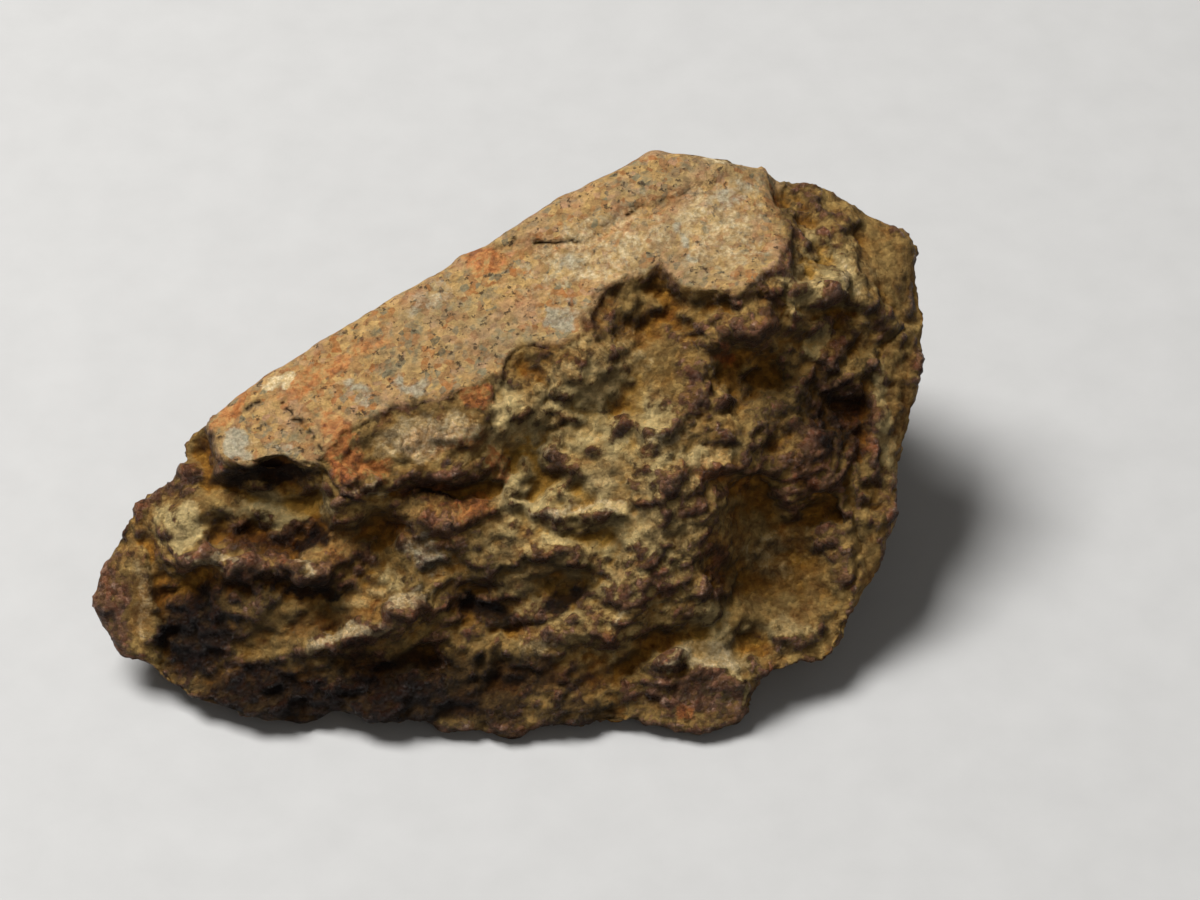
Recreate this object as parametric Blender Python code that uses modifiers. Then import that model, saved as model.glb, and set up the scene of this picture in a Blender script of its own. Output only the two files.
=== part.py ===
"""A weathered ordinary chondrite: one stone, wedge shaped, lying on a small flat spot.

Metres, +Z up. The origin is on the floor, below the middle of the stone's bounding box.
The stone is worked in millimetres. Its corners, rims, hollows and lumps are given as a
person sees them from the reference view: millimetres to the right of the view's middle,
millimetres up, and the height above the floor. From there the stone shows its smooth top
face and, below a broken rim, its rough front.
"""

import math

import bmesh
import bpy
import numpy as np
from mathutils import Matrix, Vector, noise

MM = 0.001
NODE = "chondrite_stone"

# The reference view
VIEW_DOWN = math.radians(45)
EYE_DISTANCE = 200.0
VIEW_MIDDLE = Vector((4.6, -1.5, 10.2))
RIGHT = Vector((1, 0, 0))
VIEW_UP = Vector((0, math.sin(VIEW_DOWN), math.cos(VIEW_DOWN)))
TO_EYE = Vector((0, -math.cos(VIEW_DOWN), math.sin(VIEW_DOWN)))
EYE = VIEW_MIDDLE + EYE_DISTANCE * TO_EYE

# Where the finished stone's origin lies: below the middle of its bounding box
ORIGIN = Vector((0.145, 1.303, 0.0))

# The stone's finish: weathered brown, matt and not metallic
STONE_COLOUR = (0.16, 0.1, 0.048, 1.0)
STONE_ROUGHNESS = 0.8
STONE_METALLIC = 0.0

# How fine the stone is worked, and how many faces the finished solid keeps
WORKING_GRAIN = 0.32
EDGE_WEAR = 3
STEP_WEAR = 1
FINISHED_TRIANGLES = 9400

# Corners that the reference view shows: across, up, height
SEEN_CORNERS = {
    "nose tip": (-25.4, -6.8, 5.0),
    "nose underside": (-25.4, -9.2, 3.4),
    "nose foot": (-23.6, -11.1, 2.2),
    "left edge, top": (-22.4, -5.5, 7.6),
    "left edge, foot": (-22.3, -11.7, 1.8),
    "left brow": (-22.4, -2.0, 9.0),
    "left shoulder": (-21.4, -0.2, 11.0),
    "left corner": (-19.8, 1.7, 13.0),
    "lug, low corner": (-19.2, -0.5, 12.2),
    "lug, right": (-14.2, -0.9, 12.6),
    "front foot, left": (-18.0, -14.2, 0.7),
    "front foot, middle left": (-10.0, -14.0, 0.7),
    "front foot, middle": (-4.0, -14.4, 0.5),
    "front foot, right": (1.5, -14.3, 0.4),
    "toe": (6.7, -14.5, 0.4),
    "toe tip": (7.9, -13.3, 1.3),
    "right foot": (11.6, -10.9, 2.2),
    "right heel": (12.9, -9.6, 3.1),
    "right side, low": (14.7, -4.9, 6.0),
    "right side, middle": (15.8, 2.3, 11.0),
    "right side, high": (16.6, 6.2, 13.2),
    "right shoulder": (16.1, 9.4, 15.4),
    "right brow": (15.0, 11.3, 16.4),
    "right crown": (13.4, 12.5, 17.4),
    "crown step": (11.3, 13.4, 18.3),
    "crest, right": (8.7, 13.9, 19.4),
    "crest, peak": (6.6, 14.6, 20.1),
    "crest, top": (2.7, 15.1, 20.3),
    "crest, middle": (-2.0, 12.8, 19.2),
    "crest, dip": (-5.2, 10.7, 17.9),
    "crest, left": (-10.5, 7.5, 15.7),
    "crest, far left": (-15.0, 5.0, 14.2),
    "rim, left": (-8.5, 2.5, 14.6),
    "rim, middle": (-1.8, 5.7, 17.0),
    "rim, right": (4.7, 8.0, 18.3),
    "rim, corner": (8.6, 8.6, 18.5),
    "front, left": (-17.5, -5.5, 7.9),
    "front, middle left": (-10.0, -5.5, 8.4),
    "front, middle": (0.0, -5.5, 8.8),
    "front, right": (4.8, -3.5, 10.4),
    "front, far right": (12.3, 1.5, 11.9),
}

# Corners behind and below the stone, which the reference view doesn't show: x, y, z
HIDDEN_CORNERS = {
    "back foot, left": (-11.5, 4.0, 1.6),
    "back foot, middle left": (-4.0, 8.0, 0.6),
    "back foot, middle right": (7.0, 11.5, 1.0),
    "back foot, right": (14.0, 11.5, 2.8),
    "back heel": (18.2, 6.5, 4.2),
    "back, left": (-10.0, 6.2, 6.6),
    "back, middle left": (0.0, 10.4, 8.2),
    "back, middle right": (9.5, 14.8, 9.0),
    "back, right": (16.5, 13.4, 8.5),
    "right end": (19.8, 7.5, 9.0),
    "back crown, middle": (6.5, 10.8, 17.4),
    "back crown, right": (13.5, 11.8, 15.4),
    "back crown, end": (18.4, 9.2, 13.2),
    "sole, left": (-4.5, -4.5, -0.35),
    "sole, front left": (-1.5, -7.0, -0.35),
    "sole, front right": (7.5, -6.8, -0.35),
    "sole, right": (10.5, -2.0, -0.35),
    "sole, back right": (8.5, 3.5, -0.35),
    "sole, back left": (-0.5, 3.0, -0.35),
}

# What is cut away below: the notch under the right end, between the toe and the right
# foot, and the low arch under the front's left half: x, y, z
CUTTERS = {
    "notch_cutter": [
        (12.4, -12.0, -2.0),
        (12.2, -12.0, 2.8),
        (12.6, -7.4, 1.5),
        (13.4, -4.8, -2.0),
        (22.0, -12.0, -2.0),
        (22.0, -12.0, 2.2),
        (19.0, -6.0, 1.2),
        (19.0, -3.5, -2.0),
    ],
    "arch_cutter": [
        (-11.6, -14.0, -2.0),
        (-9.8, -14.0, 1.4),
        (-3.6, -14.0, 1.5),
        (-2.0, -14.0, -2.0),
        (-9.5, -5.5, -2.0),
        (-8.5, -7.0, 0.5),
        (-4.0, -7.0, 0.4),
        (-3.0, -5.5, -2.0),
    ],
}

# The broken rim of the smooth top face, as seen: across, up
RIM = [
    (-19.95, 1.45), (-19.35, 0.6), (-19.15, -0.25), (-18.6, -0.75), (-17.5, -0.7),
    (-16.4, -0.35), (-15.35, -0.45), (-14.75, -0.7), (-14.0, -0.6), (-13.7, 0.1),
    (-13.0, 0.9), (-11.9, 1.65), (-11.0, 1.9), (-9.65, 2.3), (-8.9, 2.55), (-8.0, 2.5),
    (-7.15, 2.9), (-6.3, 3.35), (-5.05, 3.65), (-4.9, 4.3), (-4.4, 4.85), (-3.9, 5.2),
    (-2.9, 5.4), (-2.3, 5.3), (-1.45, 5.55), (-1.05, 6.05), (-0.55, 6.9), (0.2, 8.0),
    (0.95, 8.45), (1.95, 8.75), (2.95, 9.4), (3.3, 9.0), (3.9, 8.4), (4.65, 7.95),
    (5.8, 7.85), (6.95, 7.85), (7.55, 8.6), (8.75, 9.05), (9.35, 10.8), (9.0, 11.75),
    (8.85, 13.0), (8.8, 13.9),
]
BEYOND_CREST = [(8.8, 30.0), (-30.0, 30.0), (-30.0, 1.45)]

# The lower edge of the rusty shelf, one step below the rim
SHELF_EDGE = [
    (-13.9, -0.6), (-13.4, -1.4), (-12.9, -2.05), (-11.4, -2.2), (-10.3, -1.9),
    (-9.2, -1.55), (-8.0, -1.85), (-6.5, -1.5), (-5.0, -1.6), (-4.7, -0.9), (-4.6, 0.3),
    (-4.9, 1.2), (-4.7, 3.0),
]
SHELF_RIM_START = 8
SHELF_RIM_END = 19

# The flake that stands a little proud along the crest, and the crack at its foot
FLAKE = [
    (-5.4, 10.0), (-4.2, 10.5), (-3.2, 10.45), (-1.0, 10.35), (0.2, 11.2), (1.25, 11.9),
    (4.2, 13.0), (5.6, 13.3), (6.4, 13.9), (6.8, 15.2), (6.8, 30.0), (-6.5, 30.0),
]
FLAKE_HEIGHT = 0.35

# How far the stone steps in below the rim, by the place across the view. The step is high
# under the lug and the bay, and low along the shelf and under the peak.
RIM_STEPS = [
    (-19.0, 0.8), (-14.0, 0.8), (-12.5, 0.4), (-6.5, 0.4), (-4.8, 0.8), (-2.5, 0.7),
    (-0.5, 0.25), (3.4, 0.2), (4.6, 0.5), (7.0, 0.45), (9.0, 0.2),
]
RIM_STEP_FADE = 3.2
SHELF_STEP = 0.9
SHELF_STEP_FADE = 3.0

# How sharp the steps are, and the share of a step that stays far below its edge. The rim's
# step also loses most of its height up to the crest, between these two places in the view.
STEP_SHARPNESS = 0.3
STEP_REST = 0.3
RIM_STEP_TOP = (8.8, 12.5)
RIM_STEP_LOSS = 0.8

# Hollows pressed into the front: across, up, half length, half height, turn, depth
HOLLOWS = {
    "under the lug": (-16.3, -1.9, 3.4, 1.4, 2, 1.4),
    "behind the lug": (-19.9, 0.0, 0.9, 1.8, 30, 0.7),
    "under the shelf": (-11.2, -3.6, 2.6, 1.8, -8, 1.2),
    "long groove, upper": (-17.2, -4.2, 3.4, 1.0, 2, 1.0),
    "long groove, end": (-14.3, -4.7, 1.3, 1.0, 0, 0.9),
    "long groove, middle": (-14.2, -7.2, 2.6, 0.8, 8, 1.1),
    "ochre hollow": (-15.2, -8.9, 3.0, 1.0, 8, 0.9),
    "left cheek": (-21.0, -8.6, 1.5, 2.3, 0, 0.9),
    "low left": (-17.0, -11.4, 3.6, 1.2, 0, 0.6),
    "under the lumps": (-10.0, -10.6, 2.6, 1.4, 4, 0.9),
    "dark hollow, middle": (-5.8, -8.1, 2.0, 1.3, -10, 1.8),
    "dark hollow, low": (-8.0, -10.6, 1.1, 1.6, 0, 1.0),
    "orange facet": (-5.6, -11.6, 1.8, 2.0, 20, 0.6),
    "dark pit, middle": (-1.8, -7.4, 1.7, 0.8, 0, 1.1),
    "streaked hollow": (-8.6, -5.8, 1.8, 1.0, -6, 0.5),
    "under the bay": (-3.4, 3.6, 1.6, 1.4, 25, 0.7),
    "khaki slope": (-3.9, -0.6, 1.5, 3.4, 8, 0.6),
    "under the peak": (2.2, 6.6, 2.3, 2.0, 30, 1.2),
    "khaki hollow": (0.6, 3.4, 2.4, 2.2, 20, 0.9),
    "orange pocket": (4.0, 6.9, 0.9, 1.0, 20, 0.7),
    "dark hollow, upper": (6.6, 5.2, 2.1, 1.4, -10, 1.6),
    "dark hollow, right": (7.6, 2.9, 2.2, 1.3, -15, 1.8),
    "ochre pocket": (6.6, 1.5, 1.3, 0.9, -20, 0.6),
    "under the tan slope": (10.8, 7.0, 1.8, 0.7, -8, 1.1),
    "square pit": (10.7, 5.1, 0.7, 0.9, 0, 0.5),
    "dark band, right": (12.0, 1.6, 1.4, 2.0, 0, 0.7),
    "bowl": (8.8, -5.6, 3.5, 4.2, -12, 2.9),
    "bowl, top": (7.6, -2.6, 2.2, 1.3, -10, 1.0),
    "bowl, left wall": (6.7, -7.2, 1.2, 2.0, -25, 1.2),
    "bowl, foot": (6.6, -9.3, 2.3, 1.1, -12, 0.9),
    "row of pits": (11.2, -3.3, 1.0, 0.7, -10, 0.6),
    "over the toe": (3.0, -9.4, 2.0, 0.8, 15, 0.6),
    "orange hollow": (0.4, -10.6, 1.9, 1.0, 6, 0.6),
    "cheek of the toe": (3.8, -12.4, 1.2, 0.8, 0, 0.4),
}

# Lumps and ridges that stand out: across, up, half length, half height, turn, height
LUMPS = {
    "lug": (-17.3, 0.3, 2.3, 1.1, 0, 0.5),
    "ledge under the left corner": (-20.6, -1.5, 1.4, 0.6, 0, 0.7),
    "sandy cheek": (-21.0, -3.9, 1.8, 1.9, 20, 0.5),
    "left ridge": (-18.9, -5.7, 3.6, 0.7, -3, 0.9),
    "left ridge, end": (-14.6, -6.2, 1.6, 0.6, -20, 0.7),
    "low ridge": (-14.0, -10.0, 2.6, 0.6, 4, 0.7),
    "low ridge, right": (-11.0, -8.8, 2.1, 0.8, 28, 0.9),
    "dusty lump": (-9.4, -7.5, 1.6, 0.9, 20, 0.5),
    "shelf lip": (-7.4, -1.2, 2.6, 0.6, 0, 0.4),
    "peaked lump": (-2.4, -0.4, 0.8, 0.7, 30, 0.7),
    "small knob, upper": (-1.7, 2.5, 0.6, 0.8, 0, 0.5),
    "brown lump": (0.8, 1.2, 1.0, 0.8, 0, 0.5),
    "glossy ridge": (2.9, 0.5, 1.9, 0.6, 12, 0.8),
    "varnished shoulder": (3.4, -1.6, 2.4, 2.0, 30, 0.9),
    "pale ledge": (-1.3, -3.2, 2.9, 0.6, 3, 0.7),
    "peak on the ledge": (-2.3, -3.6, 0.5, 0.6, 0, 0.5),
    "knob below the ledge": (-2.3, -5.3, 1.3, 0.5, -15, 0.6),
    "varnished middle": (2.2, -6.0, 2.6, 1.6, 20, 0.8),
    "lump over the toe": (1.0, -8.4, 1.2, 0.6, 28, 0.6),
    "pale crumbs": (-2.8, -10.0, 1.4, 0.7, 0, 0.5),
    "top of the toe": (4.4, -10.9, 2.2, 0.6, -4, 0.8),
    "upper dark lump": (3.3, 2.7, 0.5, 0.8, 0, 0.4),
    "rim corner lumps": (8.6, 8.7, 1.1, 0.7, 10, 0.5),
    "tan slope": (11.0, 8.9, 1.4, 0.9, -25, 0.6),
    "right ridge, top": (11.9, 10.5, 1.9, 0.4, -58, 0.6),
    "right ridge": (13.5, 7.3, 1.7, 0.4, -62, 0.6),
    "right ridge, low": (13.6, 2.6, 2.4, 0.4, -82, 0.6),
    "edge of the bowl": (12.4, -5.2, 3.0, 0.6, -84, 0.7),
    "pink lump": (11.8, -6.6, 1.0, 0.8, 0, 0.5),
    "top of the bowl": (7.0, -0.6, 2.4, 0.6, 14, 0.6),
}

# Where a form's flat middle ends and where it has run out, as shares of its half sizes,
# and how deep a scoop is at its middle and how much more at its upper edge
FORM_EDGE = (0.25, 1.15)
SCOOP_MIDDLE = 0.75
SCOOP_TILT = 0.35

# Hollows on the sides that the reference view doesn't show: x, y, z, radius, depth
HIDDEN_HOLLOWS = [
    (-4.0, 8.6, 9.5, 5.0, 1.3),
    (6.0, 13.2, 13.0, 4.2, 1.1),
    (3.0, 12.0, 4.0, 4.5, 1.2),
    (13.5, 14.5, 7.0, 3.6, 1.0),
    (-11.5, 5.2, 9.5, 3.2, 0.8),
    (-9.5, 6.0, 3.5, 3.0, 0.8),
    (19.5, 6.0, 6.5, 3.4, 0.9),
    (18.8, 8.8, 12.0, 2.8, 0.7),
    (11.0, 13.6, 10.8, 2.6, 0.7),
    (0.5, 10.5, 12.8, 2.4, 0.6),
]

HIDDEN_HOLLOW_FLOOR = 0.2
HIDDEN_WANDER = 2.0

# The broken surface's own relief, outside the smooth face: wave length and height
FACET_SIZE = 5.5
FACET_RELIEF = 0.55
HIDDEN_FACET_RELIEF = 0.8
LUMP_SIZE = 2.2
LUMP_RELIEF = 0.5
PIT_SIZE = 1.25
PIT_RELIEF = 0.16
RELIEF_INSET = 0.15
SMOOTH_FACE_RELIEF = 0.12
SMOOTH_FACE_WAVES = 4.5
OUTLINE_WANDER = 1.1
WANDER_SIZE = 2.2

# Where the smooth face begins inside its outline, and how squarely a face must look at the
# eye to count as seen, as smooth or as hidden
SMOOTH_FACE_EDGE = (-0.1, 0.5)
SEEN_SIDE = (0.0, 0.3)
SMOOTH_SIDE = (-0.1, 0.2)
HIDDEN_SIDE = (-0.5, -0.15)

# The small flat spot that the stone rests on, where its underside is worn smooth
FLAT_SPOT = (3.5, -2.0)
FLAT_SPOT_REACH = (5.5, 9.0)
FLAT_SPOT_NORMALS = (-0.9, -0.6)
SOLE_PRESS = 0.03

# The foot stays whole: the front's forms fade out between these two heights above the floor
FOOT_FADE = (0.6, 4.0)


def seen(across, up, height):
    """The point at that height that the reference view shows at that place."""
    target = VIEW_MIDDLE + across * RIGHT + up * VIEW_UP
    ray = target - EYE
    return EYE + ray * ((height - EYE.z) / ray.z)


def smoothstep(low, high, value):
    t = np.clip((value - low) / (high - low), 0.0, 1.0)
    return t * t * (3.0 - 2.0 * t)


def clear_scene():
    for obj in list(bpy.data.objects):
        bpy.data.objects.remove(obj)


def collection_named(name):
    collection = bpy.data.collections.new(name)
    bpy.context.scene.collection.children.link(collection)
    return collection


def hull_object(name, corners, collection):
    """The closed solid that the corners span."""
    bm = bmesh.new()
    for corner in corners:
        bm.verts.new(corner)
    hull = bmesh.ops.convex_hull(bm, input=bm.verts)
    inner = [v for v in hull["geom_interior"] if isinstance(v, bmesh.types.BMVert)]
    bmesh.ops.delete(bm, geom=inner, context="VERTS")
    bmesh.ops.recalc_face_normals(bm, faces=bm.faces)
    mesh = bpy.data.meshes.new(name)
    bm.to_mesh(mesh)
    bm.free()
    obj = bpy.data.objects.new(name, mesh)
    collection.objects.link(obj)
    return obj


def apply_modifiers(obj):
    graph = bpy.context.evaluated_depsgraph_get()
    mesh = bpy.data.meshes.new_from_object(obj.evaluated_get(graph))
    obj.modifiers.clear()
    obj.data = mesh


def regrain(obj, grain, wear=0):
    """Covers the stone with an even grain of faces, and wears its edges a little."""
    remesh = obj.modifiers.new("even grain", "REMESH")
    remesh.mode = "VOXEL"
    remesh.voxel_size = grain
    if wear:
        smooth = obj.modifiers.new("worn edges", "SMOOTH")
        smooth.iterations = wear
    apply_modifiers(obj)


class Surface:
    """The stone's points as arrays, with where the reference view shows each of them."""

    def __init__(self, obj):
        self.mesh = obj.data
        count = len(self.mesh.vertices)
        flat = np.empty(count * 3, np.float32)
        self.mesh.vertices.foreach_get("co", flat)
        self.points = flat.reshape(-1, 3).astype(float)
        self.mesh.vertices.foreach_get("normal", flat)
        self.normals = flat.reshape(-1, 3).astype(float)
        sight = self.points - np.array(EYE)
        away = sight @ -np.array(TO_EYE)
        scale = EYE_DISTANCE / away
        self.across = sight @ np.array(RIGHT) * scale
        self.up = sight @ np.array(VIEW_UP) * scale
        self.to_eye = -sight / np.linalg.norm(sight, axis=1)[:, None]
        self.facing = (self.normals * self.to_eye).sum(axis=1)

    def press(self, depth):
        """Moves each point that faces the eye straight away from it by its own depth."""
        self.points -= self.to_eye * (depth * smoothstep(*SEEN_SIDE, self.facing))[:, None]

    def raise_out(self, height):
        """Moves each point along its own normal."""
        self.points += self.normals * height[:, None]

    def store(self):
        self.mesh.vertices.foreach_set("co", self.points.astype(np.float32).ravel())
        self.mesh.update()


def noise_at(points, size, layer, octaves=3):
    """Soft noise from about -1 to 1, with features of that size."""
    shift = Vector((17.3 * layer, -9.1 * layer, 5.7 * layer))
    values = (
        noise.fractal(Vector(p) / size + shift, 0.9, 2.0, octaves) for p in points
    )
    return np.fromiter(values, float, len(points))


def cells_at(points, size, layer):
    """Distance to the nearest of scattered seeds: 0 at a seed, about 1 on the walls."""
    shift = Vector((3.1 * layer, 11.9 * layer, -7.7 * layer))
    values = (noise.voronoi(Vector(p) / size + shift)[0][0] for p in points)
    return np.fromiter(values, float, len(points))


def outside_distance(outline, across, up):
    """Signed distance to a closed outline in the view: negative inside it."""
    nearest = np.full(len(across), np.inf)
    inside = np.zeros(len(across), bool)
    for (x0, y0), (x1, y1) in zip(outline, outline[1:] + outline[:1]):
        dx, dy = x1 - x0, y1 - y0
        t = ((across - x0) * dx + (up - y0) * dy) / (dx * dx + dy * dy)
        t = np.clip(t, 0.0, 1.0)
        nearest = np.minimum(nearest, np.hypot(across - x0 - t * dx, up - y0 - t * dy))
        crosses = (y0 > up) != (y1 > up)
        side = x0 + dx * (up - y0) / (dy if dy else 1.0)
        inside ^= crosses & (across < side)
    return np.where(inside, -nearest, nearest)


def bump(across, up, form):
    """A rounded patch of that form: 1 in its middle and 0 at its edge."""
    middle_across, middle_up, half_length, half_height, turn, amount = form
    turn = math.radians(turn)
    a, u = across - middle_across, up - middle_up
    along = (a * math.cos(turn) + u * math.sin(turn)) / half_length
    over = (u * math.cos(turn) - a * math.sin(turn)) / half_height
    reach = np.hypot(along, over)
    return amount * (1.0 - smoothstep(*FORM_EDGE, reach)), over


def scoop(across, up, form):
    """A hollow that is steep at its upper edge and runs out gently below."""
    depth, over = bump(across, up, form)
    return depth * (SCOOP_MIDDLE + SCOOP_TILT * np.clip(over, -1.0, 1.0))


def step_below(outline, across, up, step, fade):
    """A sharp step in, just outside the outline, that fades further away from it."""
    distance = outside_distance(outline, across, up)
    edge = smoothstep(0.0, STEP_SHARPNESS, distance)
    fading = np.exp(-((distance / fade) ** 2))
    return step * edge * (STEP_REST + (1.0 - STEP_REST) * fading)


def wander(surface, layer):
    """The view place of each point, shifted a little so that no form is a neat ellipse."""
    across = noise_at(surface.points, WANDER_SIZE, layer) * OUTLINE_WANDER
    up = noise_at(surface.points, WANDER_SIZE, layer + 1) * OUTLINE_WANDER
    return surface.across + across, surface.up + up


def smooth_face_outline():
    return RIM + BEYOND_CREST


def shelf_outline():
    rim = RIM[:SHELF_RIM_START] + SHELF_EDGE + RIM[SHELF_RIM_END:]
    return rim + BEYOND_CREST


def carve_seen_side(stone):
    surface = Surface(stone)
    across, up = wander(surface, 1)
    rim_step = np.interp(surface.across, *zip(*RIM_STEPS))
    depth = step_below(
        smooth_face_outline(), surface.across, surface.up, rim_step, RIM_STEP_FADE
    )
    depth *= 1.0 - RIM_STEP_LOSS * smoothstep(*RIM_STEP_TOP, surface.up)
    depth += step_below(
        shelf_outline(), surface.across, surface.up, SHELF_STEP, SHELF_STEP_FADE
    )
    flake = outside_distance(FLAKE, surface.across, surface.up)
    depth -= FLAKE_HEIGHT * smoothstep(0.0, -STEP_SHARPNESS, flake)
    for form in HOLLOWS.values():
        depth += scoop(across, up, form)
    for form in LUMPS.values():
        depth -= bump(across, up, form)[0]
    surface.press(depth * smoothstep(*FOOT_FADE, surface.points[:, 2]))
    surface.store()


def carve_hidden_side(stone):
    surface = Surface(stone)
    shift = noise_at(surface.points, WANDER_SIZE * HIDDEN_WANDER, 5)
    shift *= OUTLINE_WANDER * HIDDEN_WANDER
    height = np.zeros(len(shift))
    for x, y, z, radius, depth in HIDDEN_HOLLOWS:
        reach = np.linalg.norm(surface.points - (x, y, z), axis=1) + shift
        height -= depth * (1.0 - smoothstep(HIDDEN_HOLLOW_FLOOR * radius, radius, reach))
    surface.raise_out(height)
    surface.store()


def roughen(stone):
    surface = Surface(stone)
    inner = -outside_distance(smooth_face_outline(), surface.across, surface.up)
    smooth = smoothstep(*SMOOTH_FACE_EDGE, inner)
    smooth *= smoothstep(*SMOOTH_SIDE, surface.facing)
    points = surface.points
    facets = cells_at(points, FACET_SIZE, 1) - 0.5
    lumps = noise_at(points, LUMP_SIZE, 3, 2)
    pits = noise_at(points, PIT_SIZE, 4, 2)
    hidden = 1.0 - smoothstep(*HIDDEN_SIDE, surface.facing)
    rough = facets * (FACET_RELIEF + hidden * HIDDEN_FACET_RELIEF)
    rough += lumps * LUMP_RELIEF + pits * PIT_RELIEF - RELIEF_INSET
    sole = 1.0 - smoothstep(*FLAT_SPOT_NORMALS, surface.normals[:, 2])
    from_spot = np.hypot(points[:, 0] - FLAT_SPOT[0], points[:, 1] - FLAT_SPOT[1])
    rough *= 1.0 - sole * (1.0 - smoothstep(*FLAT_SPOT_REACH, from_spot))
    swell = noise_at(points, SMOOTH_FACE_WAVES, 6, 2) * SMOOTH_FACE_RELIEF
    surface.raise_out(rough * (1.0 - smooth) + swell * smooth)
    surface.store()


def flatten_sole(stone):
    """Presses the part that reaches below the floor flat against it, as one face."""
    bm = bmesh.new()
    bm.from_mesh(stone.data)
    pressed = {v for v in bm.verts if v.co.z < SOLE_PRESS}
    for vert in pressed:
        vert.co.z = 0.0
    sole = [f for f in bm.faces if all(v in pressed for v in f.verts)]
    bmesh.ops.dissolve_faces(bm, faces=sole, use_verts=True)
    bm.to_mesh(stone.data)
    bm.free()


def thin_out(stone, triangles):
    """Keeps that many triangles, where the shape needs them."""
    decimate = stone.modifiers.new("fewer faces", "DECIMATE")
    decimate.use_collapse_triangulate = True
    decimate.ratio = triangles / (2 * len(stone.data.polygons))
    apply_modifiers(stone)


def weathered_finish():
    finish = bpy.data.materials.new("weathered chondrite")
    finish.use_nodes = True
    shader = finish.node_tree.nodes["Principled BSDF"]
    shader.inputs["Base Color"].default_value = STONE_COLOUR
    shader.inputs["Roughness"].default_value = STONE_ROUGHNESS
    shader.inputs["Metallic"].default_value = STONE_METALLIC
    return finish


def main():
    clear_scene()
    stone_parts = collection_named("chondrite meteorite")
    cutters = collection_named("cutters")
    corners = [seen(*place) for place in SEEN_CORNERS.values()]
    corners += [Vector(place) for place in HIDDEN_CORNERS.values()]
    stone = hull_object(NODE, corners, stone_parts)
    for name, corners in CUTTERS.items():
        cutter = hull_object(name, corners, cutters)
        cutter.hide_render = True
        cutter.display_type = "WIRE"
        cut = stone.modifiers.new(name, "BOOLEAN")
        cut.operation = "DIFFERENCE"
        cut.object = cutter
    apply_modifiers(stone)
    regrain(stone, WORKING_GRAIN, EDGE_WEAR)
    carve_seen_side(stone)
    carve_hidden_side(stone)
    regrain(stone, WORKING_GRAIN, STEP_WEAR)
    roughen(stone)
    regrain(stone, WORKING_GRAIN)
    thin_out(stone, FINISHED_TRIANGLES)
    flatten_sole(stone)
    stone.data.transform(Matrix.Scale(MM, 4) @ Matrix.Translation(-ORIGIN))
    stone.data.materials.append(weathered_finish())


main()
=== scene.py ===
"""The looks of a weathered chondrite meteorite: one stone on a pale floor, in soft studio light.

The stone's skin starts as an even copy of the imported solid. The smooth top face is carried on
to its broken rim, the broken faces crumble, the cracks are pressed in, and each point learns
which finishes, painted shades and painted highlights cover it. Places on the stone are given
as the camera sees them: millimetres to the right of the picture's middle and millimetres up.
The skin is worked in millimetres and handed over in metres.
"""

import math

import bmesh
import bpy
import numpy as np
from mathutils import Matrix, Vector, noise


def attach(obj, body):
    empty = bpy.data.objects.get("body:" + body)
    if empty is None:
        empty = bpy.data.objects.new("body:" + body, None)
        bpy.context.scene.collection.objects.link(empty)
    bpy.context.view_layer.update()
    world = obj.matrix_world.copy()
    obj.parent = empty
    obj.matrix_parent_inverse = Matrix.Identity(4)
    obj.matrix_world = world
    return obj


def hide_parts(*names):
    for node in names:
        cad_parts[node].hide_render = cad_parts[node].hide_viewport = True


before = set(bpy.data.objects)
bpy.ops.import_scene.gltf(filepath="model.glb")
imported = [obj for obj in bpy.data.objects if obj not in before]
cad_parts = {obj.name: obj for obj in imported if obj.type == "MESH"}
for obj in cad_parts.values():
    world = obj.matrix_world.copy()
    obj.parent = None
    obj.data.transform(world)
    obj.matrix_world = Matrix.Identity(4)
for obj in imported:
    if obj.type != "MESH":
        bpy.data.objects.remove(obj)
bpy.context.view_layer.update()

MM = 0.001
NODE = "chondrite_stone"

# The camera, in millimetres
VIEW_DOWN = math.radians(45)
EYE_DISTANCE = 200.0
VIEW_MIDDLE = Vector((4.455, -2.803, 10.2))
VIEW_WIDTH = 60.0
SENSOR = 36.0
RIGHT = Vector((1, 0, 0))
VIEW_UP = Vector((0, math.sin(VIEW_DOWN), math.cos(VIEW_DOWN)))
TO_EYE = Vector((0, -math.cos(VIEW_DOWN), math.sin(VIEW_DOWN)))
EYE = VIEW_MIDDLE + EYE_DISTANCE * TO_EYE

# How fine the skin is, and how often the solid's flat faces are relaxed
SKIN_GRAIN = 0.198
RELAX_ROUNDS = 9

# How far a point may stand off from its neighbours, and how often that is put right
SPIKE_REACH = (0.1, 0.2)
SPIKE_ROUNDS = 12

# The broken rim of the smooth top face: across, up
RIM = [
    (-19.95, 1.45), (-19.35, 0.6), (-19.15, -0.25), (-18.6, -0.75), (-17.5, -0.7),
    (-16.4, -0.35), (-15.35, -0.45), (-14.75, -0.7), (-14.0, -0.6), (-13.7, 0.1),
    (-13.0, 0.9), (-11.9, 1.65), (-11.0, 1.9), (-9.65, 2.3), (-8.9, 2.55), (-8.0, 2.5),
    (-7.15, 2.9), (-6.3, 3.35), (-5.05, 3.65), (-4.9, 4.3), (-4.4, 4.85), (-3.9, 5.2),
    (-2.9, 5.4), (-2.3, 5.3), (-1.45, 5.55), (-1.05, 6.05), (-0.55, 6.9), (0.2, 8.0),
    (0.95, 8.45), (1.95, 8.75), (2.95, 9.4), (3.3, 9.0), (3.9, 8.4), (4.65, 7.95),
    (5.8, 7.85), (6.95, 7.85), (7.55, 8.6), (8.75, 9.05), (9.35, 10.8), (9.0, 11.75),
    (8.85, 13.0), (8.8, 13.9),
]
BEYOND_CREST = [(8.8, 30.0), (-30.0, 30.0), (-30.0, 1.45)]

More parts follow.
